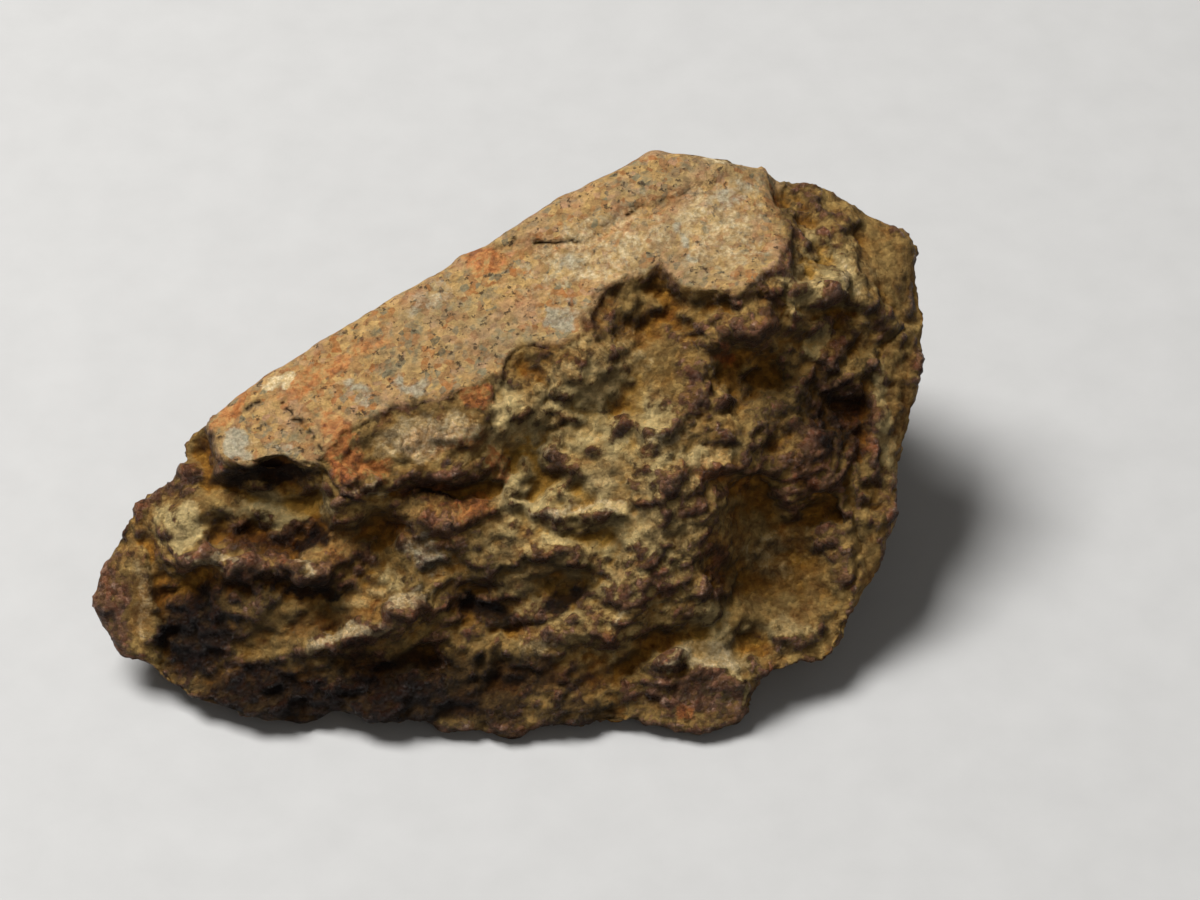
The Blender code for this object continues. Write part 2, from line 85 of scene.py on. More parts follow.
# The lower edge of the rusty shelf, one step below the rim, and the places in the rim's list
# where the shelf's outline leaves the rim and comes back to it
SHELF_EDGE = [
    (-13.9, -0.6), (-13.4, -1.4), (-12.9, -2.05), (-11.4, -2.2), (-10.3, -1.9),
    (-9.2, -1.55), (-8.0, -1.85), (-6.5, -1.5), (-5.0, -1.6), (-4.7, -0.9), (-4.6, 0.3),
    (-4.9, 1.2), (-4.7, 3.0),
]
SHELF_RIM_START = 8
SHELF_RIM_END = 19

# The flake that stands a little proud along the crest
FLAKE = [
    (-5.4, 10.0), (-4.2, 10.5), (-3.2, 10.45), (-1.0, 10.35), (0.2, 11.2), (1.25, 11.9),
    (4.2, 13.0), (5.6, 13.3), (6.4, 13.9), (6.8, 15.2), (6.8, 30.0), (-6.5, 30.0),
]

# The small steps in at the shelf's lower edge and round the flake: how deep, how many of the
# shelf's points they follow and with what slack, how sharp, and how soon they fade
SHELF_CRISP = 0.28
SHELF_STEP_POINTS = 10
SHELF_STEP_SLACK = 0.4
FLAKE_CRISP = 0.16
STEP_SHARPNESS = 0.12
STEP_FADE = 0.9

# How ragged the small chips leave every edge: size and reach of each kind, and the layers of
# noise that shake it across and up
CHIPS = ((1.5, 0.3), (0.5, 0.16))
CHIP_LAYERS = (21, 23)

# The smooth face is carried on flat to its rim over this last stretch. It follows a surface
# of this many bends, fitted to the part of the face that looks squarely enough at the eye.
RIM_STRETCH = 1.5
FACE_BENDS = 3
FACE_SQUARE = 0.35
RIM_LIFT_MOST = 2.0
RIM_LIFT_EDGE = (-0.1, 0.05)

# How far below the face the broken rock starts, by the place across the view, and how steeply
# it goes on down from there
RIM_DROPS = [
    (-20.0, 0.5, 2.0), (-19.3, 0.5, 2.0), (-14.4, 0.5, 2.0), (-13.4, 0.2, 0.8),
    (-12.0, 0.15, 0.7), (-6.8, 0.15, 0.7), (-5.2, 0.1, 0.9), (-4.4, 0.1, 0.9),
    (-2.0, 0.05, 0.9), (-0.6, 0.0, 0.9), (2.6, 0.0, 1.1), (3.4, 0.05, 1.8), (8.8, 0.05, 1.8),
]

# Where that bank of rock runs out: below the rim, left of the lug, towards the crest, deep
# below the face, and round the side that faces away
RIM_BANK = (1.5, 4.6)
RIM_LEFT_END = (-19.6, -18.8)
RIM_TOP_END = (8.8, 12.5)
RIM_DEEP_END = (6.0, 8.0)
RIM_FAR_SIDE = (-0.45, -0.15)
RIM_BLEND_ROUNDS = 5

# The face's worn lip: how far it has sunk below the face, and how near it is to the rim
LIP_DROP = (0.2, 0.4)
LIP_WIDTH = (0.8, 1.2)

# How far from the rim the broken relief is at its full height, and how wide a margin the shades
# of hollows and ledges leave free. Towards the crest and under the lug, between two places
# across, the relief starts at once, and under the lug most of the margin is lost.
RELIEF_START = 0.9
RIM_MARGIN = 0.45
LUG_ACROSS = (-19.6, -14.0)
LUG_MARGIN_LOSS = 0.7

# Other parts that stand proud of what is around them: height, fade outside, outline
PROUD_PARTS = [
    (0.55, 1.4, [
        (-22.9, -5.0), (-22.6, -6.3), (-22.25, -7.7), (-22.1, -9.3), (-22.1, -10.4), (-21.6, -12.5),
        (-30.0, -12.5), (-30.0, -5.0),
    ]),
    (0.35, 1.2, [
        (1.2, -11.6), (2.3, -10.9), (3.2, -10.45), (4.2, -10.3), (5.0, -10.8), (6.3, -10.9),
        (6.7, -11.5), (7.4, -12.8), (8.4, -13.6), (8.4, -16.0), (1.2, -16.0),
    ]),
    (0.4, 1.6, [
        (12.6, -1.5), (12.9, -3.5), (13.0, -6.0), (12.5, -8.2), (12.3, -10.5), (18.0, -10.5),
        (18.0, 6.0), (15.2, 5.9), (13.7, 4.0), (13.5, 1.5),
    ]),
]

# Hollows and swells of the seen side, as the camera sees them:
# across, up, half length, half height, turn, height
FORMS = [
    (8.9, -6.6, 3.4, 2.4, -10, -0.7), (6.4, 5.2, 2.3, 2.0, -15, 0.15), (-4.1, -1.2, 1.1, 1.7, 0, 0.75),
    (-9.4, -3.0, 4.8, 1.4, 2, 0.85), (-4.4, -7.9, 3.4, 1.0, 4, 0.5), (-16.4, -2.0, 2.6, 0.8, 0, 0.5),
    (9.5, 3.0, 3.2, 2.2, -20, -0.4), (7.2, -2.4, 2.4, 1.1, 0, -0.15), (2.9, -1.2, 2.6, 1.9, 15, 0.45),
    (4.2, -12.2, 3.2, 1.6, 0, 0.2), (-2.2, -0.4, 1.0, 0.8, 0, 0.2),
]
FORM_SHAKE = [(1.6, 0.5)]

# Places of the seen side that stay nearly flat: across, up, half length, half height, turn, share
FLATS = [
    (-23.5, -7.6, 1.3, 3.2, -8, 0.95), (5.7, -10.2, 1.6, 0.9, -10, 0.9), (14.4, 9.0, 1.5, 3.4, 30, 0.6),
    (14.3, 1.5, 0.9, 3.6, 4, 0.6), (13.3, -6.0, 0.8, 3.0, 6, 0.7), (9.0, -8.4, 2.6, 1.0, 0, 0.6),
    (-9.0, 0.6, 3.6, 1.2, 10, 0.55), (-20.5, -3.2, 1.6, 1.4, 20, 0.5), (-16.4, -2.6, 2.4, 0.6, 0, 0.6),
    (-3.6, 1.4, 1.3, 2.2, 8, 0.5), (0.6, 5.4, 1.8, 1.8, 30, 0.5), (2.5, 4.4, 1.8, 2.4, -20, 0.6),
    (-3.5, 4.3, 1.3, 0.7, 14, 0.8), (8.9, -6.2, 3.2, 2.0, -10, 0.6), (4.8, -12.6, 2.8, 1.2, 0, 0.5),
]

# Cracks in the smooth face: points along each, as across, up
CRACKS = [
    [(-13.9, 0.0), (-14.3, 0.8), (-15.1, 1.5), (-15.9, 2.3)],
    [(-17.75, 1.95), (-17.4, 2.25), (-17.05, 2.4)],
    [(-3.25, 10.4), (-2.5, 10.3), (-1.9, 10.45), (-1.05, 10.35)],
    [(1.3, 11.75), (1.7, 11.95)],
]
CRACK_WIDTH = 0.13
CRACK_DEPTH = 0.25
CRACK_SHAKE = (0.5, 0.12)

# The stone's grain: how far it is turned, and how much longer forms are along it
GRAIN_TURN = math.radians(14)
GRAIN_STRETCH = 1.35

# Relief of the broken faces: size or spacing of its forms and their height
SWELLS = (2.4, 0.42)
LEDGES = (2.3, 0.34)
KNOBS = ((1.7, 0.2), (0.85, 0.28), (0.45, 0.18))
CRUMBS = (0.9, 0.22)
GRIT = (0.42, 0.17)

# How much of a ledge's height its cut edge takes
LEDGE_CUT = 0.14

# What bends the ledges, and what shakes all relief: size and reach
LEDGE_WARPS = ((3.4, 0.75), (1.1, 0.22))
WARP = (0.7, 0.35)
FINE_WARP = (0.28, 0.1)

# Ledges come and go over this size: usual height, how much it varies, and its limits
LEDGE_COMINGS = (2.6, 0.6, 0.8, (0.0, 1.2))

# Knobs stand in clusters: size, usual share, how much it varies, and its limits. Varnish adds
# to the share, and dust takes from it and calms the swells and ledges.
CLUSTERS = (2.8, 0.55, 0.8, (0.12, 1.2))
VARNISH_CLUSTERS = 0.6
DUST_CLUSTERS = -0.45
DUST_CALM = 0.5

# How wide a knob is, and what scatters the heights of the knobs
KNOB_REACH = 0.62
KNOB_SCATTER = (91.7, 57.3, 33.1)

# Relief leans this much upwards. It keeps this share of its height on the very outline, and
# has all of it where the surface looks this squarely at the eye.
LEAN_UP = 0.35
EDGE_CALM = (0.35, 0.45)

# Relief of the smooth face: size and height of its waves and pits
SMOOTH_FACE_WAVES = (1.4, 0.07)
SMOOTH_FACE_PITS = (0.5, 0.07)
PIT_EDGE = (0.25, 0.6)

# The flat spot that the stone rests on, how far around it the underside is worn smooth, and how
# far down a place must look to belong to the underside
FLAT_SPOT = (3.36, -3.3)
FLAT_SPOT_REACH = (5.5, 9.0)
UNDERSIDE = (-0.9, -0.6)

# Ridges and grooves of the seen side: half width, height or depth, points
RIDGES = [
    (0.45, 0.45, [(-22.0, -5.5), (-19.5, -5.4), (-16.0, -5.6), (-14.0, -6.3)]),
    (0.5, 0.45, [(-16.0, -9.7), (-13.5, -10.0), (-12.0, -9.2), (-11.0, -8.6), (-9.5, -8.0)]),
    (0.35, 0.15, [(-12.9, -1.6), (-11.4, -1.8), (-10.0, -1.5), (-7.5, -1.2), (-5.0, -1.5)]),
    (0.4, 0.45, [(-4.5, -2.6), (-2.3, -3.3), (0.3, -3.3), (1.2, -3.1)]),
    (0.4, 0.4, [(1.0, 1.2), (2.5, 0.6), (4.0, 0.9)]),
    (0.4, 0.4, [(0.0, -8.9), (1.8, -8.0)]),
    (0.45, 0.4, [(-8.0, -12.3), (-6.3, -10.8), (-5.0, -9.8)]),
    (0.35, 0.35, [(2.3, -10.8), (3.2, -10.4), (4.2, -10.3), (5.0, -10.8), (6.4, -10.9)]),
    (0.35, 0.3, [(6.4, -10.9), (6.8, -11.5), (7.6, -12.8)]),
    (0.4, 0.45, [(5.5, -0.9), (7.0, -0.6), (8.5, -0.8)]),
    (0.45, 0.45, [(10.5, 12.0), (12.2, 9.9), (13.3, 7.9), (14.1, 6.5), (15.0, 6.0)]),
    (0.4, 0.4, [(12.2, -3.0), (12.7, -6.0), (12.3, -8.0)]),
    (0.35, 0.3, [(7.0, -11.0), (9.0, -10.8), (11.5, -10.3), (12.2, -9.7)]),
    (0.4, 0.4, [(10.0, 7.9), (11.3, 7.8), (12.6, 7.7)]),
    (0.4, 0.35, [(-22.0, -1.0), (-20.5, -1.2), (-19.3, -1.3)]),
    (0.5, 0.35, [(-2.9, -0.2), (-2.2, -0.1), (-1.6, -0.6)]),
    (0.4, 0.3, [(-3.2, -5.2), (-2.0, -5.3), (-1.0, -5.6)]),
    (0.45, 0.4, [(7.6, 8.6), (8.9, 9.3), (9.4, 10.2)]),
    (0.4, 0.35, [(13.6, 4.2), (13.9, 1.8), (13.6, -1.0), (13.0, -4.0)]),
    (0.4, 0.3, [(9.6, 6.3), (10.9, 6.2), (11.8, 5.6)]),
]
GROOVES = [
    (0.6, 0.35, [(-20.0, -3.6), (-17.0, -4.4), (-14.5, -4.6), (-13.5, -4.2)]),
    (0.5, 0.25, [(-15.5, -7.3), (-12.5, -6.9)]),
    (0.35, 0.15, [(-12.6, -2.7), (-10.0, -2.2), (-9.0, -2.0), (-7.0, -2.3), (-5.4, -2.4)]),
    (0.3, 0.15, [(-12.2, 1.2), (-9.5, 1.85), (-7.2, 2.1), (-5.4, 2.9)]),
    (0.6, 0.45, [(-21.8, -7.4), (-20.0, -6.4)]),
    (0.7, 0.1, [(-7.5, -8.0), (-5.8, -8.1), (-4.2, -7.8)]),
    (0.6, 0.2, [(-3.2, -7.4), (-1.6, -7.5), (-0.4, -7.1)]),
    (0.25, 0.3, [(-4.9, -6.0), (-2.6, -5.9), (-1.0, -6.2)]),
    (0.5, 0.5, [(6.0, -1.6), (7.2, -1.8), (8.2, -1.8)]),
    (0.35, 0.4, [(13.2, 3.8), (13.2, 1.0), (12.8, -1.2)]),
    (0.55, 0.5, [(5.7, -5.6), (6.3, -7.0), (6.6, -8.3)]),
    (0.4, 0.4, [(10.5, -3.2), (12.0, -3.6)]),
    (0.35, 0.35, [(-1.0, -4.4), (0.8, -4.4)]),
    (0.5, 0.3, [(8.6, 5.8), (8.2, 3.5), (6.5, 2.0), (5.2, 1.9)]),
    (0.45, 0.15, [(-18.8, -1.4), (-16.5, -1.3), (-13.5, -2.1)]),
    (0.4, 0.35, [(-18.0, -6.7), (-15.8, -6.5)]),
    (0.4, 0.4, [(9.4, 7.2), (10.8, 7.1), (12.4, 6.8)]),
    (0.4, 0.35, [(-2.9, -1.4), (-1.9, -1.6), (-1.0, -1.5)]),
    (0.3, 0.35, [(-19.6, -1.0), (-19.2, -2.0)]),
    (0.45, 0.4, [(2.2, -9.6), (4.0, -9.4), (5.2, -9.0)]),
]
LINE_SHAKE = [(1.0, 0.5)]

# Ridges and grooves come and go over this size: usual strength, how much it varies, its limits
LINE_COMINGS = (1.3, 0.75, 0.7, (0.15, 1.3))

# Patches of each finish, and of painted shade and painted highlights: across, up, half length, half
# height, turn, strength
OCHRE = [
    (-8.6, 0.5, 3.8, 1.6, 10, 1.0), (2.2, 7.3, 1.4, 1.3, 30, 1.0), (13.5, 9.5, 2.6, 3.4, 0, 0.7),
    (15.2, 3.0, 0.8, 5.0, 0, 0.7), (13.4, -6.0, 0.7, 3.6, 6, 0.8), (-22.9, -7.2, 0.75, 3.2, 8, 1.0),
    (2.6, 4.2, 1.7, 2.2, 0, 0.9), (-20.4, -2.9, 1.6, 1.2, 20, 0.9), (-20.3, 0.2, 0.8, 1.3, 0, 0.9),
    (-19.4, -2.3, 1.3, 0.9, 20, 0.9), (-14.5, -8.2, 3.6, 0.8, 8, 1.0), (-16.6, -9.8, 1.3, 0.5, 0, 1.0),
    (-11.5, -3.4, 2.2, 1.2, 0, 0.6), (-9.8, -10.4, 1.0, 0.7, 20, 0.8), (-5.6, -11.2, 1.4, 2.1, 30, 0.9),
    (0.6, -10.6, 1.9, 0.9, 4, 1.0), (8.8, -7.4, 3.2, 2.0, 0, 1.0), (8.4, -4.4, 2.6, 1.6, -10, 0.9),
    (12.9, -6.0, 0.5, 3.0, 6, 0.9), (6.6, 1.5, 1.4, 0.8, -20, 0.7), (6.4, 4.9, 1.7, 1.3, 0, 0.7),
    (7.0, -3.0, 1.6, 0.9, 0, 0.8), (4.3, 6.9, 0.9, 0.9, 20, 0.9), (11.5, 7.2, 1.3, 0.35, -5, 0.9),
    (13.4, 5.3, 0.4, 0.5, 0, 1.0), (14.9, 4.9, 0.5, 1.0, 0, 1.0), (10.9, 8.9, 1.4, 0.9, -25, 0.8),
    (14.0, 8.8, 0.9, 2.4, 30, 0.8), (11.5, 11.0, 0.8, 1.6, 35, 0.5),
]
KHAKI = [
    (-0.5, -3.0, 7.0, 8.0, 0, 0.5), (11.0, 8.6, 2.8, 2.4, 0, 0.6), (-3.8, -0.5, 1.7, 4.2, 8, 1.0),
    (0.2, 2.0, 4.0, 2.6, -25, 0.75), (-0.8, 4.6, 1.6, 1.5, 30, 0.5), (0.0, -4.0, 3.2, 1.3, 0, 0.9),
    (-1.4, -2.0, 2.8, 1.2, 0, 0.8), (4.6, -0.2, 2.6, 0.5, 8, 0.8), (5.7, -10.2, 2.0, 1.1, -10, 1.0),
    (7.0, -11.8, 0.4, 1.0, 15, 1.0), (10.7, 5.3, 0.6, 0.7, 0, 1.0), (-16.0, -2.8, 3.0, 0.8, 0, 0.8),
    (-21.0, -3.8, 1.4, 1.2, 20, 0.9), (14.2, 1.5, 0.7, 3.2, 6, 0.8), (8.6, -9.2, 3.4, 0.7, 6, 0.5),
    (5.6, -8.6, 0.8, 1.4, -25, 0.7), (-11.5, -7.2, 2.0, 0.6, 25, 0.7),
]
RUST = [
    (-13.0, 0.1, 1.0, 1.9, 0, 1.0), (-6.1, 2.6, 1.2, 0.6, 15, 1.0), (-7.6, 0.4, 2.8, 0.9, 8, 0.62),
    (-11.6, -0.9, 1.4, 0.8, 0, 0.8), (-5.0, -0.6, 0.5, 0.9, 0, 1.0), (-14.2, 3.6, 2.6, 0.9, 26, 0.8),
    (-18.4, 2.1, 1.5, 0.5, 35, 0.9), (-5.4, 9.5, 1.3, 0.6, 15, 1.0), (-11.5, 5.4, 1.6, 0.6, 28, 0.6),
    (-4.0, 7.6, 1.4, 0.8, 20, 0.4), (6.3, 4.7, 0.8, 0.6, 0, 0.8), (-6.4, -2.9, 1.4, 1.2, 0, 0.6),
    (5.0, -0.9, 1.6, 0.8, 0, 0.5), (4.4, -13.4, 0.6, 0.5, 0, 0.8), (-15.0, -4.8, 4.5, 1.6, 0, 0.42),
    (-9.0, -4.0, 3.0, 1.6, 0, 0.42), (4.5, -1.5, 2.4, 1.8, 0, 0.35), (-3.0, -11.6, 5.0, 1.2, 0, 0.38),
    (9.5, 3.0, 3.0, 3.0, 0, 0.3), (11.6, -8.4, 0.5, 1.2, 0, 0.3), (1.6, 11.2, 3.6, 0.25, 22, 0.6),
]
VARNISH = [
    (3.4, -1.9, 2.1, 2.0, 20, 1.0), (2.2, -6.2, 3.0, 1.8, 10, 0.9), (4.6, -12.0, 2.9, 1.5, 0, 0.9),
    (0.9, 1.4, 0.8, 1.1, 0, 1.0), (-1.8, 2.6, 0.6, 0.8, 0, 1.0), (3.2, 2.8, 0.6, 0.9, 0, 0.9),
    (6.4, 4.6, 2.2, 2.0, 0, 0.25), (8.0, 8.9, 1.3, 0.7, 20, 1.0), (9.2, 9.9, 0.6, 0.9, 0, 0.9),
    (11.8, 1.6, 1.5, 2.4, 0, 0.8), (13.2, 7.2, 0.5, 0.5, 0, 1.0), (9.4, -1.2, 3.0, 1.2, -10, 0.6),
    (10.6, -3.4, 1.6, 0.8, -10, 0.8), (-8.0, -5.6, 2.4, 1.3, -8, 0.4), (-17.0, -6.5, 2.0, 0.8, -4, 0.9),
    (-16.6, -4.3, 2.8, 0.9, 0, 0.9), (-20.8, -1.7, 1.5, 0.5, 0, 1.0), (-24.4, -8.0, 0.8, 3.0, 8, 0.9),
    (-20.4, -9.0, 1.6, 2.6, 0, 1.0), (-14.0, -12.2, 6.0, 1.1, 0, 0.8), (-8.2, -10.4, 1.0, 1.8, 0, 0.7),
    (0.4, 12.4, 0.4, 0.3, 0, 0.5), (14.2, 11.0, 1.3, 1.0, -50, 0.6), (-8.6, 2.4, 1.8, 0.3, 12, 0.8),
]
# Painted shade: these patches darken the colour where shadow falls in hollows, under ledges, on the
# side turned from the light and on the underside, partly also the darker soil of the bottom
DARK_SOIL_AND_PAINTED_SHADE = [
    (11.6, 1.8, 2.0, 2.8, 0, 0.65), (-16.5, -6.9, 4.0, 1.1, 6, 0.6), (-12.0, -10.2, 4.6, 0.7, 8, 0.5),
    (14.2, 0.0, 1.2, 6.0, 4, 0.35), (-16.6, -4.5, 3.2, 0.9, 0, 0.6), (-5.6, -11.6, 2.2, 2.2, 0, 0.6),
    (-20.4, -9.2, 2.0, 2.6, 0, 1.0), (-19.4, -8.4, 2.2, 1.4, 0, 0.7), (-24.5, -8.6, 0.6, 2.8, 8, 0.5),
    (-17.0, -12.2, 4.0, 1.8, 0, 0.9), (-11.0, -12.4, 4.0, 1.6, 0, 1.0),
    (-5.6, -12.6, 2.4, 1.6, 0, 0.75), (-1.0, -13.2, 3.0, 0.9, 0, 0.7), (-16.6, -1.3, 2.7, 0.6, 0, 1.0),
    (7.7, 2.7, 1.5, 0.8, -15, 0.4), (-5.8, -8.0, 1.8, 0.9, -10, 0.9), (-1.8, -7.4, 1.5, 0.6, 0, 0.9),
    (6.1, -6.8, 0.6, 1.6, -15, 0.5), (-14.6, -4.7, 1.0, 0.7, 0, 1.0), (-14.4, -7.1, 2.0, 0.4, 6, 0.9),
    (-8.2, -2.1, 1.2, 0.3, 0, 0.9), (-20.8, -10.6, 1.4, 1.6, 0, 0.8), (-12.0, -12.8, 8.0, 1.2, 0, 1.0),
    (-9.0, -11.5, 10.0, 1.6, 0, 0.75), (-15.5, -8.6, 4.5, 1.6, 6, 0.45), (-3.0, 4.5, 1.9, 0.4, 14, 0.3),
    (4.4, -12.8, 3.4, 1.4, 0, 0.4), (-3.4, -6.6, 4.6, 2.0, 0, 0.48),
]
# Pale grains and dust, and painted highlights and painted light on lit tops, ledges and the glint on
# the crest
PALE_GRAINS_AND_HIGHLIGHTS = [
    (-8.6, 0.6, 3.2, 1.2, 10, 0.7), (-22.9, -7.2, 0.6, 3.0, 8, 0.45), (0.3, -10.6, 1.8, 0.7, 4, 0.35),
    (6.4, 5.0, 1.5, 1.2, 0, 0.3), (3.4, -1.9, 1.8, 1.6, 20, 0.25), (1.6, 4.8, 1.6, 1.6, 0, 0.35),
    (-11.5, -3.5, 1.8, 0.8, 0, 0.2), (-20.6, -3.1, 1.4, 1.1, 20, 0.4), (8.8, -5.2, 2.4, 1.6, -10, 0.45),
    (-3.5, 0.2, 1.0, 1.6, 8, 0.4), (0.0, 10.0, 5.0, 2.4, 24, 0.5), (6.0, 11.2, 2.8, 3.0, 0, 0.52),
    (-18.2, 0.4, 0.9, 0.6, 0, 0.3), (5.7, -10.2, 1.9, 0.9, -10, 1.0), (-2.9, -10.1, 1.3, 0.7, 0, 0.4),
    (-12.6, -9.3, 2.4, 0.45, 14, 0.9), (-19.4, -5.5, 1.4, 0.35, 0, 0.9),
    (-14.8, -5.9, 1.0, 0.3, -20, 0.6), (3.2, -10.5, 0.5, 0.22, 20, 1.0),
    (6.1, 14.35, 1.0, 0.25, 0, 1.0), (-16.2, 3.3, 0.9, 0.4, 25, 1.0), (3.0, 0.7, 1.8, 0.25, 12, 0.7),
    (-2.7, 0.0, 0.6, 0.3, 10, 0.8), (-1.4, -3.0, 2.9, 0.3, 3, 0.8), (-9.4, -7.3, 1.2, 0.5, 20, 0.7),
    (1.0, -8.3, 1.0, 0.25, 28, 0.6), (12.4, 8.6, 0.3, 1.2, 35, 0.7), (-11.2, -2.0, 1.0, 0.2, 0, 0.7),
]
GREY = [
    (-18.1, 0.3, 1.1, 0.85, 0, 1.0), (-16.0, 0.1, 0.9, 0.5, 0, 0.5), (-2.0, 6.6, 0.85, 0.7, 20, 0.9),
    (-9.5, 3.3, 0.9, 0.5, 10, 0.8), (-8.8, 7.5, 1.4, 0.7, 30, 0.5), (-12.2, 2.9, 0.7, 0.4, 0, 0.7),
    (6.4, 12.8, 1.2, 0.6, 10, 0.6), (-1.3, 9.4, 0.9, 0.6, 0, 0.6), (4.6, 9.7, 0.5, 0.35, 0, 0.9),
    (4.0, 10.9, 0.4, 0.3, 0, 0.8), (0.6, 11.3, 0.8, 0.4, 20, 0.5), (-8.4, -5.2, 1.8, 0.8, -10, 0.6),
]
PATCH_SHAKE = [(1.8, 0.6), (0.6, 0.35)]
PATCH_EDGE = (0.5, 1.35)

# How squarely a place must look at the eye to take the patches of the seen side. On the other
# sides noises of two sizes deal out the finishes.
SEEN = (-0.05, 0.15)
UNSEEN_SIZES = (6.0, 4.0)

# How each measure of the relief shows in the finishes and, for the deep and ledge measures, in painted
# shade: rounds of neighbours and strength
HOLLOW_MEASURE = (12, 2.4)
DEEP_MEASURE = (90, 1.2)
LEDGE_MEASURE = (40, 0.8)
KNOB_MEASURE = 2.2

# The rust along the flake's scarp: how many of the flake's points it follows, half width, share
SCARP_RUST = (9, 0.25, 0.5)


def smoothstep(low, high, value):
    """A soft rise from 0 at low to 1 at high."""
    t = np.clip((value - low) / (high - low), 0.0, 1.0)
    return t * t * (3.0 - 2.0 * t)


def noise_at(points, size, layer, octaves=2):
    """Soft noise from about -1 to 1, with features of that size."""
    shift = Vector((13.7 * layer, -8.3 * layer, 4.9 * layer))
    values = (
        noise.fractal(Vector(p) / size + shift, 0.9, 2.0, octaves) for p in points
    )
    return np.fromiter(values, float, len(points))


def coming_and_going(points, comings, layer):
    """A share that varies over the stone: size, usual share, how much it varies, its limits."""
    size, usual, spread, limits = comings
    return np.clip(usual + spread * noise_at(points, size, layer), *limits)


def crumbs_at(points, size, layer, octaves=3):
    """Broken lumps of that size with sharp creases between them, about -0.5 to 1."""
    shift = Vector((7.9 * layer, 3.1 * layer, -12.7 * layer))
    values = (
        noise.turbulence(Vector(p) / size + shift, octaves, True) for p in points
    )
    return np.fromiter(values, float, len(points)) - 0.5


def ledges_at(points):
    """Ledges that slope out and down, each cut back below its edge: 1 on the edge, 0 under it."""
    spacing, _ = LEDGES
    place = points[:, 2] / spacing
    for layer, (size, reach) in enumerate(LEDGE_WARPS):
        place = place + noise_at(points, size, 11 + layer) * reach
    over_edge = place - np.floor(place)
    return (1.0 - over_edge) * smoothstep(0.0, LEDGE_CUT, over_edge)


def knobs_at(points, spacing, layer):
    """Scattered knobs: 1 on the tallest one's top, 0 between them."""
    shift = Vector((5.3 * layer, 9.1 * layer, -6.1 * layer))
    heights = np.empty(len(points))
    for i, p in enumerate(points):
        distances, middles = noise.voronoi(Vector(p) / spacing + shift)
        turn = sum(c * scatter for c, scatter in zip(middles[0], KNOB_SCATTER))
        tallness = 0.5 + 0.5 * math.sin(turn)
        heights[i] = max(0.0, 1.0 - distances[0] / KNOB_REACH) * tallness
    return heights


def warped(points, size, reach):
    """The points shaken by noise, so that nothing laid out on them is round or even."""
    shaken = points.copy()
    for k in range(3):
        shaken[:, k] += noise_at(points, size, 91 + k) * reach
    return shaken


def placed(name, data):
    """A new object of that data, put in the scene."""
    obj = bpy.data.objects.new(name, data)
    bpy.context.scene.collection.objects.link(obj)
    return obj


def apply_modifiers(obj):
    """Turns what the modifiers make of the object into its own mesh."""
    graph = bpy.context.evaluated_depsgraph_get()
    mesh = bpy.data.meshes.new_from_object(obj.evaluated_get(graph))
    obj.modifiers.clear()
    obj.data = mesh


def stone_copy():
    """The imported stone's shape as one closed even skin, in millimetres."""
    bm = bmesh.new()
    bm.from_mesh(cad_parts[NODE].data)
    bmesh.ops.remove_doubles(bm, verts=bm.verts, dist=1e-7)
    bmesh.ops.scale(bm, vec=(1 / MM, 1 / MM, 1 / MM), verts=bm.verts)
    mesh = bpy.data.meshes.new("meteorite")
    bm.to_mesh(mesh)
    bm.free()
    stone = placed("meteorite", mesh)
    remesh = stone.modifiers.new("even grain", "REMESH")
    remesh.mode = "VOXEL"
    remesh.voxel_size = SKIN_GRAIN
    apply_modifiers(stone)
    return stone


